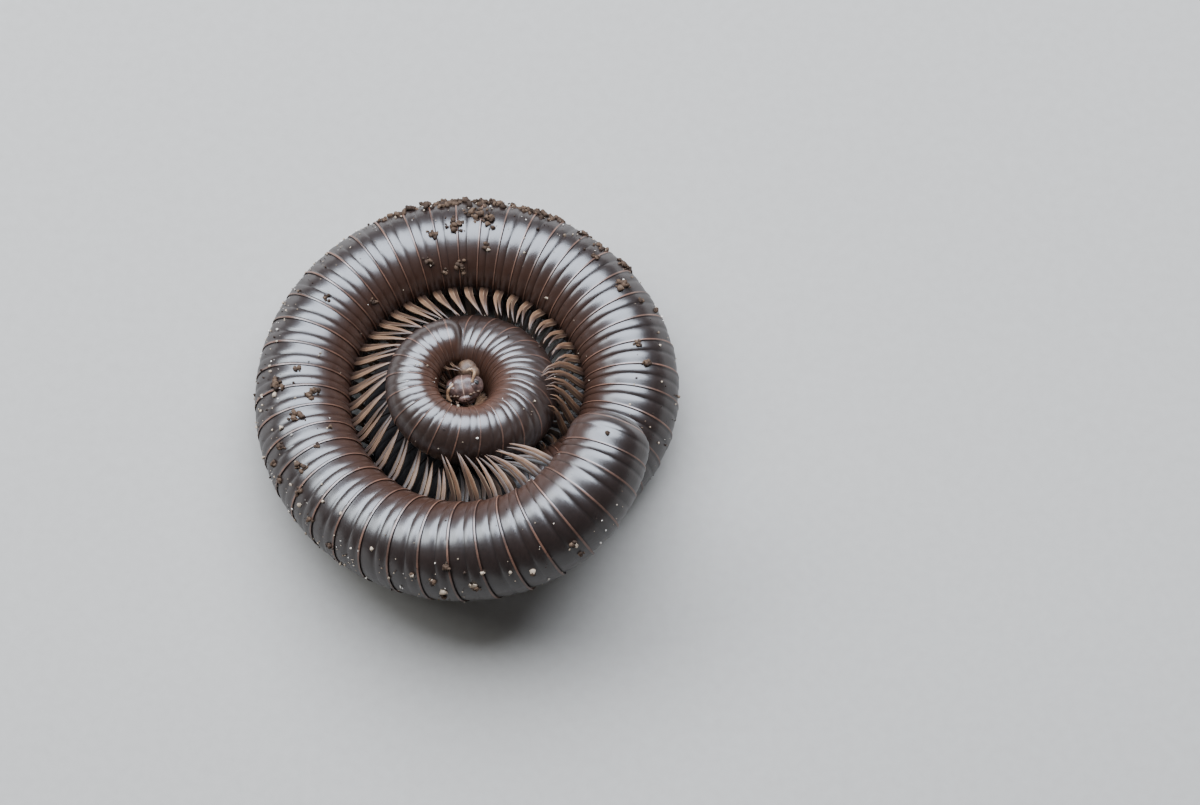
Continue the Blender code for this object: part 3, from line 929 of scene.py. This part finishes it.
# %% [markdown]
# ## The look of the legs
# The legs are tan with a pinkish cast, darker at the root and along the middle of the blade,
# and pale along both edges, with a dull gloss. The second pair of a ring, in the shade of the
# first, and the legs next to the head get painted shade. The lower row gets darker painted shade
# still, so the gaps between the upper legs look black. One finish serves them all: numbers kept
# on each leg's points say which leg it is.

# %% Finish: tan horn
LIMB_SMOOTH = 60
# painted shade: the lower row's share of the upper row's brightness
LOWER_ROW_SHADE = 0.22
# two plain tans, mottling, root and edge
LIMB_TONES = (
    (0.155, 0.080, 0.044),
    (0.225, 0.126, 0.070),
    (0.080, 0.036, 0.019),
    (0.020, 0.010, 0.007),
    (0.40, 0.27, 0.17),
)


def limb_finish(name, shade):
    limb = Finish(name, 0.42, 0.5)
    tones = [tuple(value * shade for value in tone) for tone in LIMB_TONES]
    leg_along = limb.node("ShaderNodeAttribute", {"attribute_name": "leg_along"}, output=2)
    leg_across = limb.node("ShaderNodeAttribute", {"attribute_name": "leg_across"}, output=2)
    leg_number = limb.node("ShaderNodeAttribute", {"attribute_name": "leg_number"}, output=2)
    leg_painted_shade = limb.node("ShaderNodeAttribute", {"attribute_name": "leg_painted_shade"}, output=2)
    place = limb.node("ShaderNodeTexCoord", output=3)
    mottle = limb.node("ShaderNodeTexNoise", {}, {"Vector": place, "Scale": 2600.0, "Detail": 3.0})
    own = limb.node("ShaderNodeTexWhiteNoise", {"noise_dimensions": "1D"}, {"W": leg_number})
    root_dark = 1 - limb.between(leg_along, 0.08, 0.42)
    tan = limb.blend(own, tones[0], tones[1])
    tan = limb.blend(mottle * 0.6, tan, tones[2])
    tan = limb.blend(root_dark * 0.85, tan, tones[3])
    # painted shade on the second leg of each pair and on the legs next to the head
    tan = limb.blend(leg_painted_shade * 0.72, tan, tones[3])
    off_middle = limb.node("ShaderNodeMath", {"operation": "ABSOLUTE"}, {0: leg_across})
    edge = limb.between(off_middle, 0.5, 0.85) * (1 - root_dark)
    tan = limb.blend(edge * 0.6, tan, tones[4])
    limb.set("Base Color", tan)
    limb.set("Roughness", 0.36 + mottle * 0.2)
    limb.bump(mottle, 0.3, 0.00004)
    return limb.material


# the lower row gets painted shade
limb_looks = [limb_finish("tan_leg", 1.0), limb_finish("shaded_lower_leg", LOWER_ROW_SHADE)]
for row, material in zip(leg_rows, limb_looks * 2):
    dress(row, material, LIMB_SMOOTH)
print("legs finished")

# %% [markdown]
# ## The collar behind the head
# The first ring is different: a short collar, the collum, that closes in front like a hood over
# the neck. It is a cylinder too, bisected into bands that shrink and sink towards the belly.

# %% Model the collar
COLLUM_LONG = 1.42
# share of its width that the front end keeps, and how far it drops, in mm
COLLUM_END = (0.40, 0.6)
# distance along the collar in mm, share of the girth there, and drop towards the belly in mm
COLLUM_PROFILE = (
    (0.03, 1.005, 0.0),
    (0.08, 1.005, 0.0),
    (0.11, 0.992, 0.0),
    (0.30, 0.996, 0.02),
    (0.55, 0.975, 0.06),
    (0.80, 0.93, 0.14),
    (1.00, 0.86, 0.22),
    (1.17, 0.77, 0.33),
    (1.30, 0.65, 0.45),
    (1.38, 0.53, 0.54),
)

front_girth = along(girth, joints[-1:])[0]
collum = new_cylinder("collum_collar", RING_SIDES, RING_RADIUS * MM, COLLUM_LONG * MM)
drop_scale = RING_RADIUS / front_girth
cut_bands(collum, [(place, share, -drop * drop_scale) for place, share, drop in COLLUM_PROFILE])
select_end(collum, 1)
bpy.ops.transform.resize(value=(COLLUM_END[0], COLLUM_END[0], 1))
bpy.ops.transform.translate(value=(-COLLUM_END[1] * drop_scale * MM, 0, 0))
bpy.ops.object.mode_set(mode="OBJECT")
rows = points_of(collum.data) / MM
placed = on_body(joints[-1] + rows[:, 2], rows[:, 0] / RING_RADIUS, rows[:, 1] / RING_RADIUS)
mark(collum.data, "ring_along", "FLOAT", rows[:, 2] / RING_LONG)
mark(collum.data, "ring_back", "FLOAT", unit(rows[:, :2])[:, 0])
mark(collum.data, "ring_space", "FLOAT_VECTOR", rows)
set_points(collum.data, placed * MM)
print("collar:", len(collum.data.polygons), "faces")

# %% [markdown]
# ## The head
# The head lies in the middle of the coil and looks up at us: a rounded capsule with a seam down
# its middle, two bulging cheeks that are the bases of the jaws, a notched upper lip, and the
# lower lip plate behind. Balls are scaled in edit mode, then a few soft pulls with a smooth
# fall-off shape them as a thumb shapes clay, which the operators can't do so finely.

# %% The head's own axes
HEAD_SHIFT = np.array([0.05, 0.25, 0.10])
HEAD_FACES = np.array([-0.15, -0.23, 0.96])
HEAD_UP = np.array([-0.16, 0.94, 0.20])
HEAD_SMOOTH = 50
head_up = unit(HEAD_UP)
head_front = unit(HEAD_FACES - head_up * (HEAD_FACES @ head_up))
head_right = np.cross(head_front, head_up)
head_rows = [head_right, head_front, head_up, HEAD_AT + ORIGIN_SHIFT + HEAD_SHIFT]


def head_ball(name, half, at, sides=48, rings=32):
    obj = new_ball(name, sides, rings)
    start_editing(obj)
    bpy.ops.transform.resize(value=half)
    bpy.ops.transform.translate(value=tuple(Vector(at) * MM))
    finish_editing()
    return obj


def pull(obj, at, reach, move):
    """Moves the points near a place, most at its middle, in mm."""
    points = points_of(obj.data) / MM
    near = np.clip(1 - np.linalg.norm(points - np.array(at), axis=1) / reach, 0, 1)
    fall = near * near * (3 - 2 * near)
    set_points(obj.data, (points + fall[:, None] * np.array(move)) * MM)


def crease(obj, first, last, width, depth):
    """Presses a narrow seam between two places into the surface, in mm."""
    points = points_of(obj.data) / MM
    start, run = np.array(first, float), np.array(last, float) - np.array(first, float)
    share = np.clip((points - start) @ run / (run @ run), 0, 1)
    away = np.linalg.norm(points - start - share[:, None] * run, axis=1)
    middle = points.mean(0)
    press = depth * np.exp(-(away / width) ** 2)
    set_points(obj.data, (points - unit(points - middle) * press[:, None]) * MM)


def into_head(obj):
    mark(obj.data, "head_space", "FLOAT_VECTOR", points_of(obj.data) / MM)
    set_in_place(obj, head_rows)
    choose(obj)
    bpy.ops.object.shade_smooth_by_angle(angle=math.radians(HEAD_SMOOTH))


print("head looks along", head_front.round(2))

# %% Capsule and cheeks
CAPSULE = (1.68, 1.2, 1.42)
CAPSULE_AT = (0, 0, -0.35)
CHEEK = (0.84, 1.0, 0.98)
CHEEK_AT = (1.04, 0.12, -0.26)
LIP = (0.72, 0.42, 0.36)
LIP_AT = (0.0, 0.62, -1.46)
EYE_AT = (1.34, 0.95, -0.18)
ANTENNA_AT = (0.95, 0.90, 0.02)

capsule = head_ball("head_capsule", CAPSULE, CAPSULE_AT, 96, 64)
for sign in (1, -1):
    pull(capsule, (sign * 0.75, 0.9, 0.3), 0.9, (0, 0.14, 0.06))
    pull(capsule, (sign * 0.55, 1.0, -0.9), 0.9, (0, 0.10, 0))
crease(capsule, (0, 1.3, 0.9), (0, 1.2, -1.4), 0.09, 0.09)
head_pieces = [capsule]
for sign, label in ((1, "right"), (-1, "left")):
    at = (sign * CHEEK_AT[0], CHEEK_AT[1], CHEEK_AT[2])
    cheek = head_ball(f"jaw_base_{label}", CHEEK, at, 64, 40)
    crease(cheek, (sign * 0.7, 1.0, -0.62), (sign * 1.8, 0.5, -0.42), 0.07, 0.10)
    crease(cheek, (sign * 1.0, 1.15, 0.1), (sign * 1.15, 1.1, -0.6), 0.05, 0.06)
    pull(cheek, (sign * ANTENNA_AT[0], 1.1, ANTENNA_AT[2]), 0.40, (0, -0.20, 0))
    head_pieces.append(cheek)

# %% Lips and neck
lip = head_ball("upper_lip", LIP, LIP_AT, 48, 32)
pull(lip, (0, 0.85, -1.82), 0.26, (0, -0.02, 0.16))
for x in (-0.34, 0.34):
    pull(lip, (x, 0.85, -1.78), 0.24, (0, 0.02, -0.07))
crease(lip, (-0.8, 0.95, -1.34), (0.8, 0.95, -1.34), 0.05, 0.05)
head_pieces.append(lip)
plate = head_ball("lower_lip_plate", (0.98, 0.42, 0.98), (0, -0.52, -1.0), 64, 40)
crease(plate, (0, -1.1, 0.1), (0, -0.7, -1.9), 0.05, 0.08)
for sign in (1, -1):
    crease(plate, (sign * 0.5, -1.0, 0.1), (sign * 0.42, -0.7, -1.8), 0.05, 0.06)
head_pieces.append(plate)
neck = head_ball("neck_skin", (0.98, 0.80, 0.98), (-0.50, 0.02, 1.42), 64, 40)
pull(neck, (-0.1, 0.9, 1.2), 0.8, (0, 0.12, 0))
for first, last in (((-1.5, 0.5, 1.9), (0.5, 0.5, 1.75)), ((-1.5, 0.7, 1.35), (0.5, 0.7, 1.05))):
    crease(neck, first, last, 0.08, 0.09)
fold = head_ball("neck_fold", (0.55, 0.62, 0.62), (-1.18, 0.22, 0.98), 48, 32)
crease(fold, (-1.6, 0.5, 1.3), (-0.7, 0.8, 0.8), 0.07, 0.08)
soft_pieces = [neck, fold]
PALPS = ((0.66, 0.98, -1.22, 0.13), (0.98, 0.86, -1.12, 0.12), (1.36, 0.62, -1.02, 0.15))
for sign, label in ((1, "right"), (-1, "left")):
    for i, (x, y, z, size) in enumerate(PALPS):
        palp = head_ball(f"palp_{label}_{i}", (size * 1.2, size, size * 0.8), (sign * x, y, z), 16, 12)
        soft_pieces.append(palp)
head_pieces += soft_pieces
for piece in head_pieces:
    into_head(piece)
hard = len(head_pieces) - len(soft_pieces)
head_pieces = [join("head_shell", head_pieces[:hard]), join("neck_and_palps", head_pieces[hard:])]
print("head:", [len(piece.data.polygons) for piece in head_pieces], "faces")

# %% [markdown]
# ## The eyes
# Each eye is a patch of small round lenses, like seeds packed in rows. One lens is modelled as a
# low dome and copied over an oval swelling on the side of the capsule.

# %% Model the eye patches
EYE = (0.25, 0.15, 0.25)
EYE_FACES = (0.80, 0.60, 0.12)
LENS = 0.052
LENS_ROWS = (3, 4, 5, 5, 4, 3)
# how far apart the lenses of a row and the rows lie, in lens radii
LENS_APART = 1.75
ROWS_APART = 1.9


def eye_patch(label, sign):
    at = np.array([sign * EYE_AT[0], EYE_AT[1], EYE_AT[2]])
    base = head_ball(f"eye_base_{label}", EYE, tuple(at), 32, 20)
    way_out = unit(np.array(EYE_FACES) * [sign, 1, 1])
    across = unit(np.cross([0, 0, 1.0], way_out))
    upward = np.cross(way_out, across)
    lenses = [base]
    for r, count in enumerate(LENS_ROWS):
        for c in range(count):
            u = (c - (count - 1) / 2) * LENS * LENS_APART
            v = (r - (len(LENS_ROWS) - 1) / 2) * LENS * ROWS_APART
            aim = way_out + across * u / EYE[0] + upward * v / EYE[2]
            foot = at + unit(aim) * (1 / np.linalg.norm(unit(aim) / np.array(EYE)))
            lenses.append(head_ball(f"lens_{label}_{r}_{c}", (LENS, LENS, LENS), tuple(foot), 8, 6))
    for obj in lenses:
        into_head(obj)
    return join(f"eye_patch_{label}", lenses)


eyes = [eye_patch("right", 1), eye_patch("left", -1)]
print("eyes:", [len(eye.data.polygons) for eye in eyes], "faces")

# %% [markdown]
# ## The feelers
# A millipede's feeler has seven club-shaped pieces, the last one tiny, and four blunt cones at its
# tip. Like the legs it is one rod, bisected and pinched between six pieces, with the cones set
# on its end. The left one curls up over the face and the right one lies down along its cheek.

# %% Model the feelers
ANTENNA_THICK = 0.38
# steps from the root to the tip, in mm to the side, forwards and up
ANTENNA_CURLED = (
    (0.0, 0.0, 0.0),
    (0.30, 0.24, 0.40),
    (0.42, 0.26, 0.82),
    (0.14, 0.32, 1.14),
    (-0.20, 0.34, 1.10),
)
ANTENNA_FOLDED = (
    (0.0, 0.0, 0.0),
    (0.38, 0.20, -0.30),
    (0.66, -0.06, -0.72),
    (0.72, -0.40, -1.15),
    (0.55, -0.60, -1.45),
)
# width of each piece
ANTENNA_SWELL = (0.72, 0.80, 0.86, 0.90, 1.0, 1.08)
ANTENNA_TIP = 0.55
CONE_APART = 0.06
CONE_HALF = (0.045, 0.045, 0.08)
# place along one piece and width there
ANTENNA_BANDS = ((0.03, 0.62), (0.22, 0.80), (0.60, 1.0), (0.88, 0.94), (0.975, 0.66))


def antenna(label, sign, route):
    rod = new_cylinder(f"feeler_{label}", 16, 0.5 * MM, 1.0 * MM)
    bands = []
    for i, swell in enumerate(ANTENNA_SWELL):
        bands += [((i + step) / len(ANTENNA_SWELL), swell * share, 0) for step, share in ANTENNA_BANDS]
    cut_bands(rod, bands)
    select_end(rod, 1)
    bpy.ops.transform.resize(value=(ANTENNA_TIP, ANTENNA_TIP, 1))
    bpy.ops.object.mode_set(mode="OBJECT")
    rows = points_of(rod.data) / MM * [ANTENNA_THICK, ANTENNA_THICK, 1.0]
    corner = np.array(ANTENNA_AT)
    way = smooth_way([(corner + step) * [sign, 1, 1] for step in route], 40)
    set_points(rod.data, bend_along(rows, way, np.array([1.0, 0.0, 0.0])) * MM)
    pieces = [rod]
    along_tip = unit(way[-1] - way[-3])
    for i, (x, y) in enumerate(((1, 1), (-1, 1), (1, -1), (-1, -1))):
        cone_at = tuple(way[-1] + [x * CONE_APART, y * CONE_APART, 0] + along_tip * 0.02)
        pieces.append(head_ball(f"cone_{label}_{i}", CONE_HALF, cone_at, 8, 6))
    for obj in pieces:
        start_editing(obj)
        finish_editing()
        into_head(obj)
    return join(f"feeler_{label}", pieces)


feelers = [antenna("right", 1, ANTENNA_FOLDED), antenna("left", -1, ANTENNA_CURLED)]
print("feelers:", [len(feeler.data.polygons) for feeler in feelers], "faces")

# %% [markdown]
# ## The look of the head
# The head capsule is mottled chestnut with a soft wax gloss, a thin light line along its middle
# seam and fine dimples. The skin of the neck is browner and dull, the lenses are black and the
# feelers pale. They differ in a few colours only, so one function writes all four.

# %% Finish: chestnut head, black lenses, pale feeler
SEAM_CREAM = (0.36, 0.23, 0.165)


def head_finish(name, dark, light, roughness, seam=0.0, coat=0.3):
    look = Finish(name, roughness, 0.5, coat, 0.25)
    space = look.node("ShaderNodeAttribute", {"attribute_name": "head_space"}, output=1)
    cloud = look.node("ShaderNodeTexNoise", {}, {"Vector": space, "Scale": 1.6, "Detail": 4.0})
    dimples = look.node("ShaderNodeTexNoise", {}, {"Vector": space, "Scale": 9.0, "Detail": 3.0})
    colour = look.blend(look.between(cloud, 0.30, 0.68), dark, light)
    if seam:
        apart = look.node("ShaderNodeSeparateXYZ", {}, {0: space})
        middle = look.node("ShaderNodeMath", {"operation": "ABSOLUTE"}, {0: apart})
        colour = look.blend((1 - look.between(middle, 0.015, 0.075)) * seam, colour, SEAM_CREAM)
    darker = tuple(value * 0.5 for value in dark)
    colour = look.blend(look.between(dimples, 0.52, 0.75) * 0.5, colour, darker)
    look.set("Base Color", colour)
    look.set("Roughness", roughness + (dimples - 0.5) * 0.3)
    look.bump(dimples, 0.35, 0.00003)
    return look.material


head_look = head_finish("chestnut_head", (0.040, 0.022, 0.018), (0.13, 0.072, 0.056), 0.36, 0.7)
skin_look = head_finish("neck_membrane", (0.055, 0.030, 0.020), (0.15, 0.088, 0.052), 0.52, coat=0.0)
eye_look = head_finish("black_lenses", (0.004, 0.003, 0.003), (0.010, 0.008, 0.007), 0.30)
feeler_look = head_finish("pale_feeler", (0.24, 0.13, 0.07), (0.46, 0.30, 0.18), 0.40)


dress(head_pieces[0], head_look)
dress(head_pieces[1], skin_look)
for eye in eyes:
    dress(eye, eye_look)
for feeler in feelers:
    dress(feeler, feeler_look)
dress(collum, cuticle_inner, SHELL_SMOOTH)
print("head finished")

# %% [markdown]
# ## Soil on the shell
# The animal has pushed through damp soil. Brown crumbs stick to its back in clumps, and pale
# sand grains dot its flanks. A particle system could strew them, but it would hide the choices,
# so they are copied one by one. Three crumbs are cubes rounded towards a ball and jittered, three
# grains are coarse icospheres, and all stay at a few dozen faces.

# %% Model one crumb and one grain
JITTER_CRUMB = 0.10
JITTER_GRAIN = 0.16
CRUMB_SEED = 11
GRAIN_SEED = 31
KINDS = 3


def roughened(name, jitter, seed):
    obj = bpy.context.object
    obj.name = name
    bpy.ops.object.mode_set(mode="EDIT")
    bpy.ops.mesh.select_all(action="SELECT")
    bpy.ops.transform.vertex_random(offset=jitter * MM, uniform=1.0, normal=0.4, seed=seed)
    bpy.ops.object.mode_set(mode="OBJECT")
    return obj


def new_crumb(name, seed):
    bpy.ops.object.select_all(action="DESELECT")
    bpy.ops.mesh.primitive_cube_add(size=1.0 * MM)
    bpy.ops.object.mode_set(mode="EDIT")
    bpy.ops.mesh.select_all(action="SELECT")
    bpy.ops.mesh.subdivide(number_cuts=1)
    bpy.ops.transform.tosphere(value=0.7)
    bpy.ops.object.mode_set(mode="OBJECT")
    return roughened(name, JITTER_CRUMB, seed)


def new_grain(name, seed):
    bpy.ops.object.select_all(action="DESELECT")
    bpy.ops.mesh.primitive_ico_sphere_add(subdivisions=1, radius=0.5 * MM)
    return roughened(name, JITTER_GRAIN, seed)


crumb_patterns = [new_crumb(f"crumb_pattern_{i}", CRUMB_SEED + i) for i in range(KINDS)]
grain_patterns = [new_grain(f"grain_pattern_{i}", GRAIN_SEED + i) for i in range(KINDS)]
print("crumb:", len(crumb_patterns[0].data.polygons), "faces, grain:", len(grain_patterns[0].data.polygons))

# %% Copy a lump to its place
grit = random.Random(5)
LUMP_FLOOR = 0.02


def lump(pattern, at, size, tone):
    """A turned and squashed copy of a pattern, centred at a point in mm."""
    copy = bpy.data.objects.new("lump", pattern.data.copy())
    bpy.context.collection.objects.link(copy)
    turned = np.array([unit(np.array([grit.gauss(0, 1) for _ in range(3)])) for _ in range(2)])
    third = unit(np.cross(turned[0], turned[1]))
    axes = np.array([turned[0], np.cross(third, turned[0]), third])
    squash = [size * grit.uniform(0.7, 1.25) for _ in range(3)]
    rows = points_of(copy.data) / MM * squash @ axes + at
    rows[:, 2] = np.maximum(rows[:, 2], LUMP_FLOOR)
    set_points(copy.data, rows * MM)
    mark(copy.data, "lump_tone", "FLOAT", np.full(len(rows), tone))
    return copy


# %% Scatter the sand grains
# first and last ring, number of grains, angle from the back up to the top of the body, spread
GRAIN_FIELDS = (
    (0, 44, 300, 18, 26),
    (15, 33, 230, 35, 20),
    (6, 14, 40, 15, 18),
    (0, 44, 70, 85, 40),
    (62, 82, 50, 70, 60),
)
GRAIN_SIZES = (0.09, 0.32)
# grains sit this far out, in shares of the body's radius, and this share of them is dark
GRAIN_OUT = 1.006
DARK_SHARE = 0.25


def scattered_grains():
    grains = []
    for first, last, count, middle, spread in GRAIN_FIELDS:
        for _ in range(count):
            at = np.array([grit.uniform(joints[first], joints[last])])
            angle = math.radians(grit.gauss(middle, spread))
            out, up = math.cos(angle), math.sin(angle)
            size = GRAIN_SIZES[0] + (GRAIN_SIZES[1] - GRAIN_SIZES[0]) * grit.random() ** 3
            place = on_body(at, np.array([out * GRAIN_OUT]), np.array([up * GRAIN_OUT]))[0]
            pale = grit.random() > DARK_SHARE
            tone = 0.5 + 0.5 * grit.random() if pale else 0.1 * grit.random()
            grains.append(lump(grit.choice(grain_patterns), place, size, tone))
    return grains


grains = join("clinging_grains", scattered_grains())
print("grains:", len(grains.data.polygons), "faces")

# %% [markdown]
# ## The clumps
# The clumps and single pebbles lie where they do in the picture. Each is found by looking from
# the camera through its place in the picture until the shell is met, and its crumbs are heaped
# on the shell there. Turning the picture's places into angles on the coil by hand would be
# slower and less exact.

# %% Find the clumps on the shell
PICTURE = (1200, 805)
# a place just off the shell is searched this many pixels lower down
SEARCH_LOWER = 16
SEARCH_STEP = 2
# place in the picture in pixels from its upper left corner, and width of the clump in mm
CLUMPS = (
    (410, 196, 1.6), (430, 196, 2.0), (443, 198, 2.0), (454, 192, 1.8), (465, 194, 2.4), (478, 195, 2.0),
    (490, 199, 1.8), (500, 203, 1.3), (398, 203, 1.2), (384, 208, 0.8), (524, 202, 1.2), (534, 204, 1.9),
    (443, 205, 1.3), (483, 217, 2.4), (477, 212, 1.8), (455, 226, 2.2), (432, 234, 0.9), (429, 261, 0.8),
    (444, 271, 0.6), (461, 267, 1.2), (487, 246, 0.6), (545, 206, 1.6), (558, 216, 1.2), (584, 229, 1.1),
    (601, 248, 1.3), (596, 257, 0.7), (625, 259, 1.7), (621, 284, 1.6), (637, 343, 0.8), (646, 363, 0.7),
    (325, 298, 0.6), (374, 302, 0.7), (277, 384, 1.5), (312, 394, 1.4), (296, 369, 0.5), (294, 418, 1.3),
    (281, 446, 0.9), (303, 467, 1.3), (299, 492, 0.9), (274, 464, 0.6), (317, 446, 0.4), (330, 427, 0.4),
    (446, 565, 0.9), (432, 582, 0.5), (444, 596, 0.7), (475, 588, 0.7), (412, 575, 0.4), (533, 573, 0.4),
    (573, 544, 0.6), (581, 553, 0.5), (608, 433, 0.3), (512, 204, 0.8), (640, 300, 0.5), (655, 310, 0.5),
    (280, 480, 0.6), (310, 520, 0.6), (330, 545, 0.5),
)
# the same for single pale pebbles
PEBBLES = (
    (432, 582, 0.8), (444, 592, 1.0), (475, 586, 0.9), (412, 575, 0.5), (482, 573, 0.5), (510, 573, 0.5),
    (533, 571, 0.6), (575, 544, 0.7), (310, 520, 0.4), (341, 513, 0.4), (281, 428, 0.6), (275, 395, 0.6),
    (372, 549, 0.4), (547, 298, 0.4), (488, 250, 0.4), (300, 505, 0.5), (660, 345, 0.4),
)


def seen_place(x, y, trees):
    """Where the line of sight through a point of the picture first meets the shell."""
    sensor = lens.sensor_width / lens.lens
    across = (x / PICTURE[0] - 0.5) * sensor
    upward = (0.5 - y / PICTURE[1]) * sensor * PICTURE[1] / PICTURE[0]
    way = camera.rotation_euler.to_matrix() @ Vector((across, upward, -1)).normalized()
    hits = [tree.ray_cast(camera.location, way) for tree in trees]
    hits = [hit for hit in hits if hit[0] is not None]
    return min(hits, key=lambda hit: hit[3]) if hits else None


def nearest_seen_place(x, y, trees):
    """The same, or a place a little lower in the picture where that one is just off the shell."""
    for lower in range(0, SEARCH_LOWER, SEARCH_STEP):
        hit = seen_place(x, y + lower, trees)
        if hit:
            return hit
    return None


bpy.context.view_layer.update()
depsgraph = bpy.context.evaluated_depsgraph_get()
trees = [BVHTree.FromObject(shell, depsgraph) for shell in shells]


def all_places(spots):
    found = [(nearest_seen_place(x, y, trees), wide) for x, y, wide in spots]
    return [(hit, wide) for hit, wide in found if hit]


clump_places = all_places(CLUMPS)
pebble_places = all_places(PEBBLES)
print(len(clump_places), "of", len(CLUMPS), "clumps found on the shell")
print(len(pebble_places), "of", len(PEBBLES), "pebbles found on the shell")

# %% Heap the crumbs
CRUMBS_LEAST = 3
CRUMBS_PER_MM = 11
CRUMB_SIZES = (0.16, 0.46)
PEBBLE_TONES = (0.62, 0.85)
SOIL_SMOOTH = 70


def heap(hit, wide):
    middle = np.array(hit[0]) / MM
    normal = unit(np.array(hit[1]))
    first = unit(np.cross(normal, [0.3, 0.9, 0.1]))
    second = np.cross(normal, first)
    crumbs = []
    for _ in range(CRUMBS_LEAST + int(CRUMBS_PER_MM * wide)):
        most = CRUMB_SIZES[0] + (CRUMB_SIZES[1] - CRUMB_SIZES[0]) * min(1.0, 0.4 + wide * 0.45)
        size = CRUMB_SIZES[0] + (most - CRUMB_SIZES[0]) * grit.random() ** 1.5
        u, v = grit.gauss(0, 0.30) * wide, grit.gauss(0, 0.22) * wide
        away = math.hypot(u, v) / wide
        rise = size * 0.25 + max(0.0, 0.35 - away) * wide * grit.uniform(0.0, 0.6)
        sink = (u * u + v * v) / BODY
        at = middle + first * u + second * v + normal * (rise - sink)
        crumbs.append(lump(grit.choice(crumb_patterns), at, size, grit.random() * 0.5))
    return crumbs


def pebble(hit, wide):
    return lump(grit.choice(grain_patterns), np.array(hit[0]) / MM, wide, grit.uniform(*PEBBLE_TONES))


heaps = [crumb for hit, wide in clump_places for crumb in heap(hit, wide)]
crumbs = join("clinging_crumbs", heaps + [pebble(hit, wide) for hit, wide in pebble_places])
for pattern in crumb_patterns + grain_patterns:
    bpy.data.objects.remove(pattern)
print("crumbs:", len(crumbs.data.polygons), "faces")

# %% [markdown]
# ## The look of the soil
# Damp soil is dull and dark brown, quartz sand pale cream. Each lump carries one number, its
# tone, that runs from dark soil over light brown to sand, so a single finish serves them all.

# %% Finish: damp soil and pale sand
soil = Finish("soil_crumb", 0.8, 0.3)
tone = soil.node("ShaderNodeAttribute", {"attribute_name": "lump_tone"}, output=2)
place = soil.node("ShaderNodeTexCoord", output=3)
speckle = soil.node("ShaderNodeTexNoise", {}, {"Vector": place, "Scale": 5200.0, "Detail": 4.0})
earth = soil.blend(tone * 1.7, (0.024, 0.013, 0.008), (0.125, 0.076, 0.046))
earth = soil.blend(soil.between(tone, 0.48, 0.62), earth, (0.42, 0.33, 0.24))
earth = soil.blend(soil.between(tone, 0.82, 0.95), earth, (0.72, 0.66, 0.58))
earth = soil.blend(soil.between(speckle, 0.5, 0.7) * 0.5, earth, (0.05, 0.032, 0.022))
soil.set("Base Color", earth)
soil.set("Roughness", 0.6 + speckle * 0.4)
soil.bump(speckle, 0.6, 0.00005)
for obj in (grains, crumbs):
    dress(obj, soil.material, SOIL_SMOOTH)
print("soil finished")

# %% [markdown]
# ## Handing the pieces over
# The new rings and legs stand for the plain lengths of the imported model, the new head, eyes,
# feelers, collar and tail for its own, and everything rides on its one body.

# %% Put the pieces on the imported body
lengths = sorted(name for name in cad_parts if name.startswith("trunk_"))
for shell in shells:
    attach(shell, "root")
    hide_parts(*(["tail_ring"] if shell is tail_shell else lengths))
stand_ins = (
    (collum, "shell", "collum"),
    (valves[0], "shell", "anal_valve_right"),
    (valves[1], "shell", "anal_valve_left"),
    (head_pieces[0], "chestnut", "head"),
    (head_pieces[1], "horn", "head"),
    (eyes[0], "eye_black", "eye_right"),
    (eyes[1], "eye_black", "eye_left"),
    (feelers[0], "horn", "antenna_right"),
    (feelers[1], "horn", "antenna_left"),
)
for piece, slot, node in stand_ins:
    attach(piece, "root")
    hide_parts(node)
for row in leg_rows:
    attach(row, "root")
    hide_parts(*lengths)
for obj in (grains, crumbs):
    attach(obj, "root")
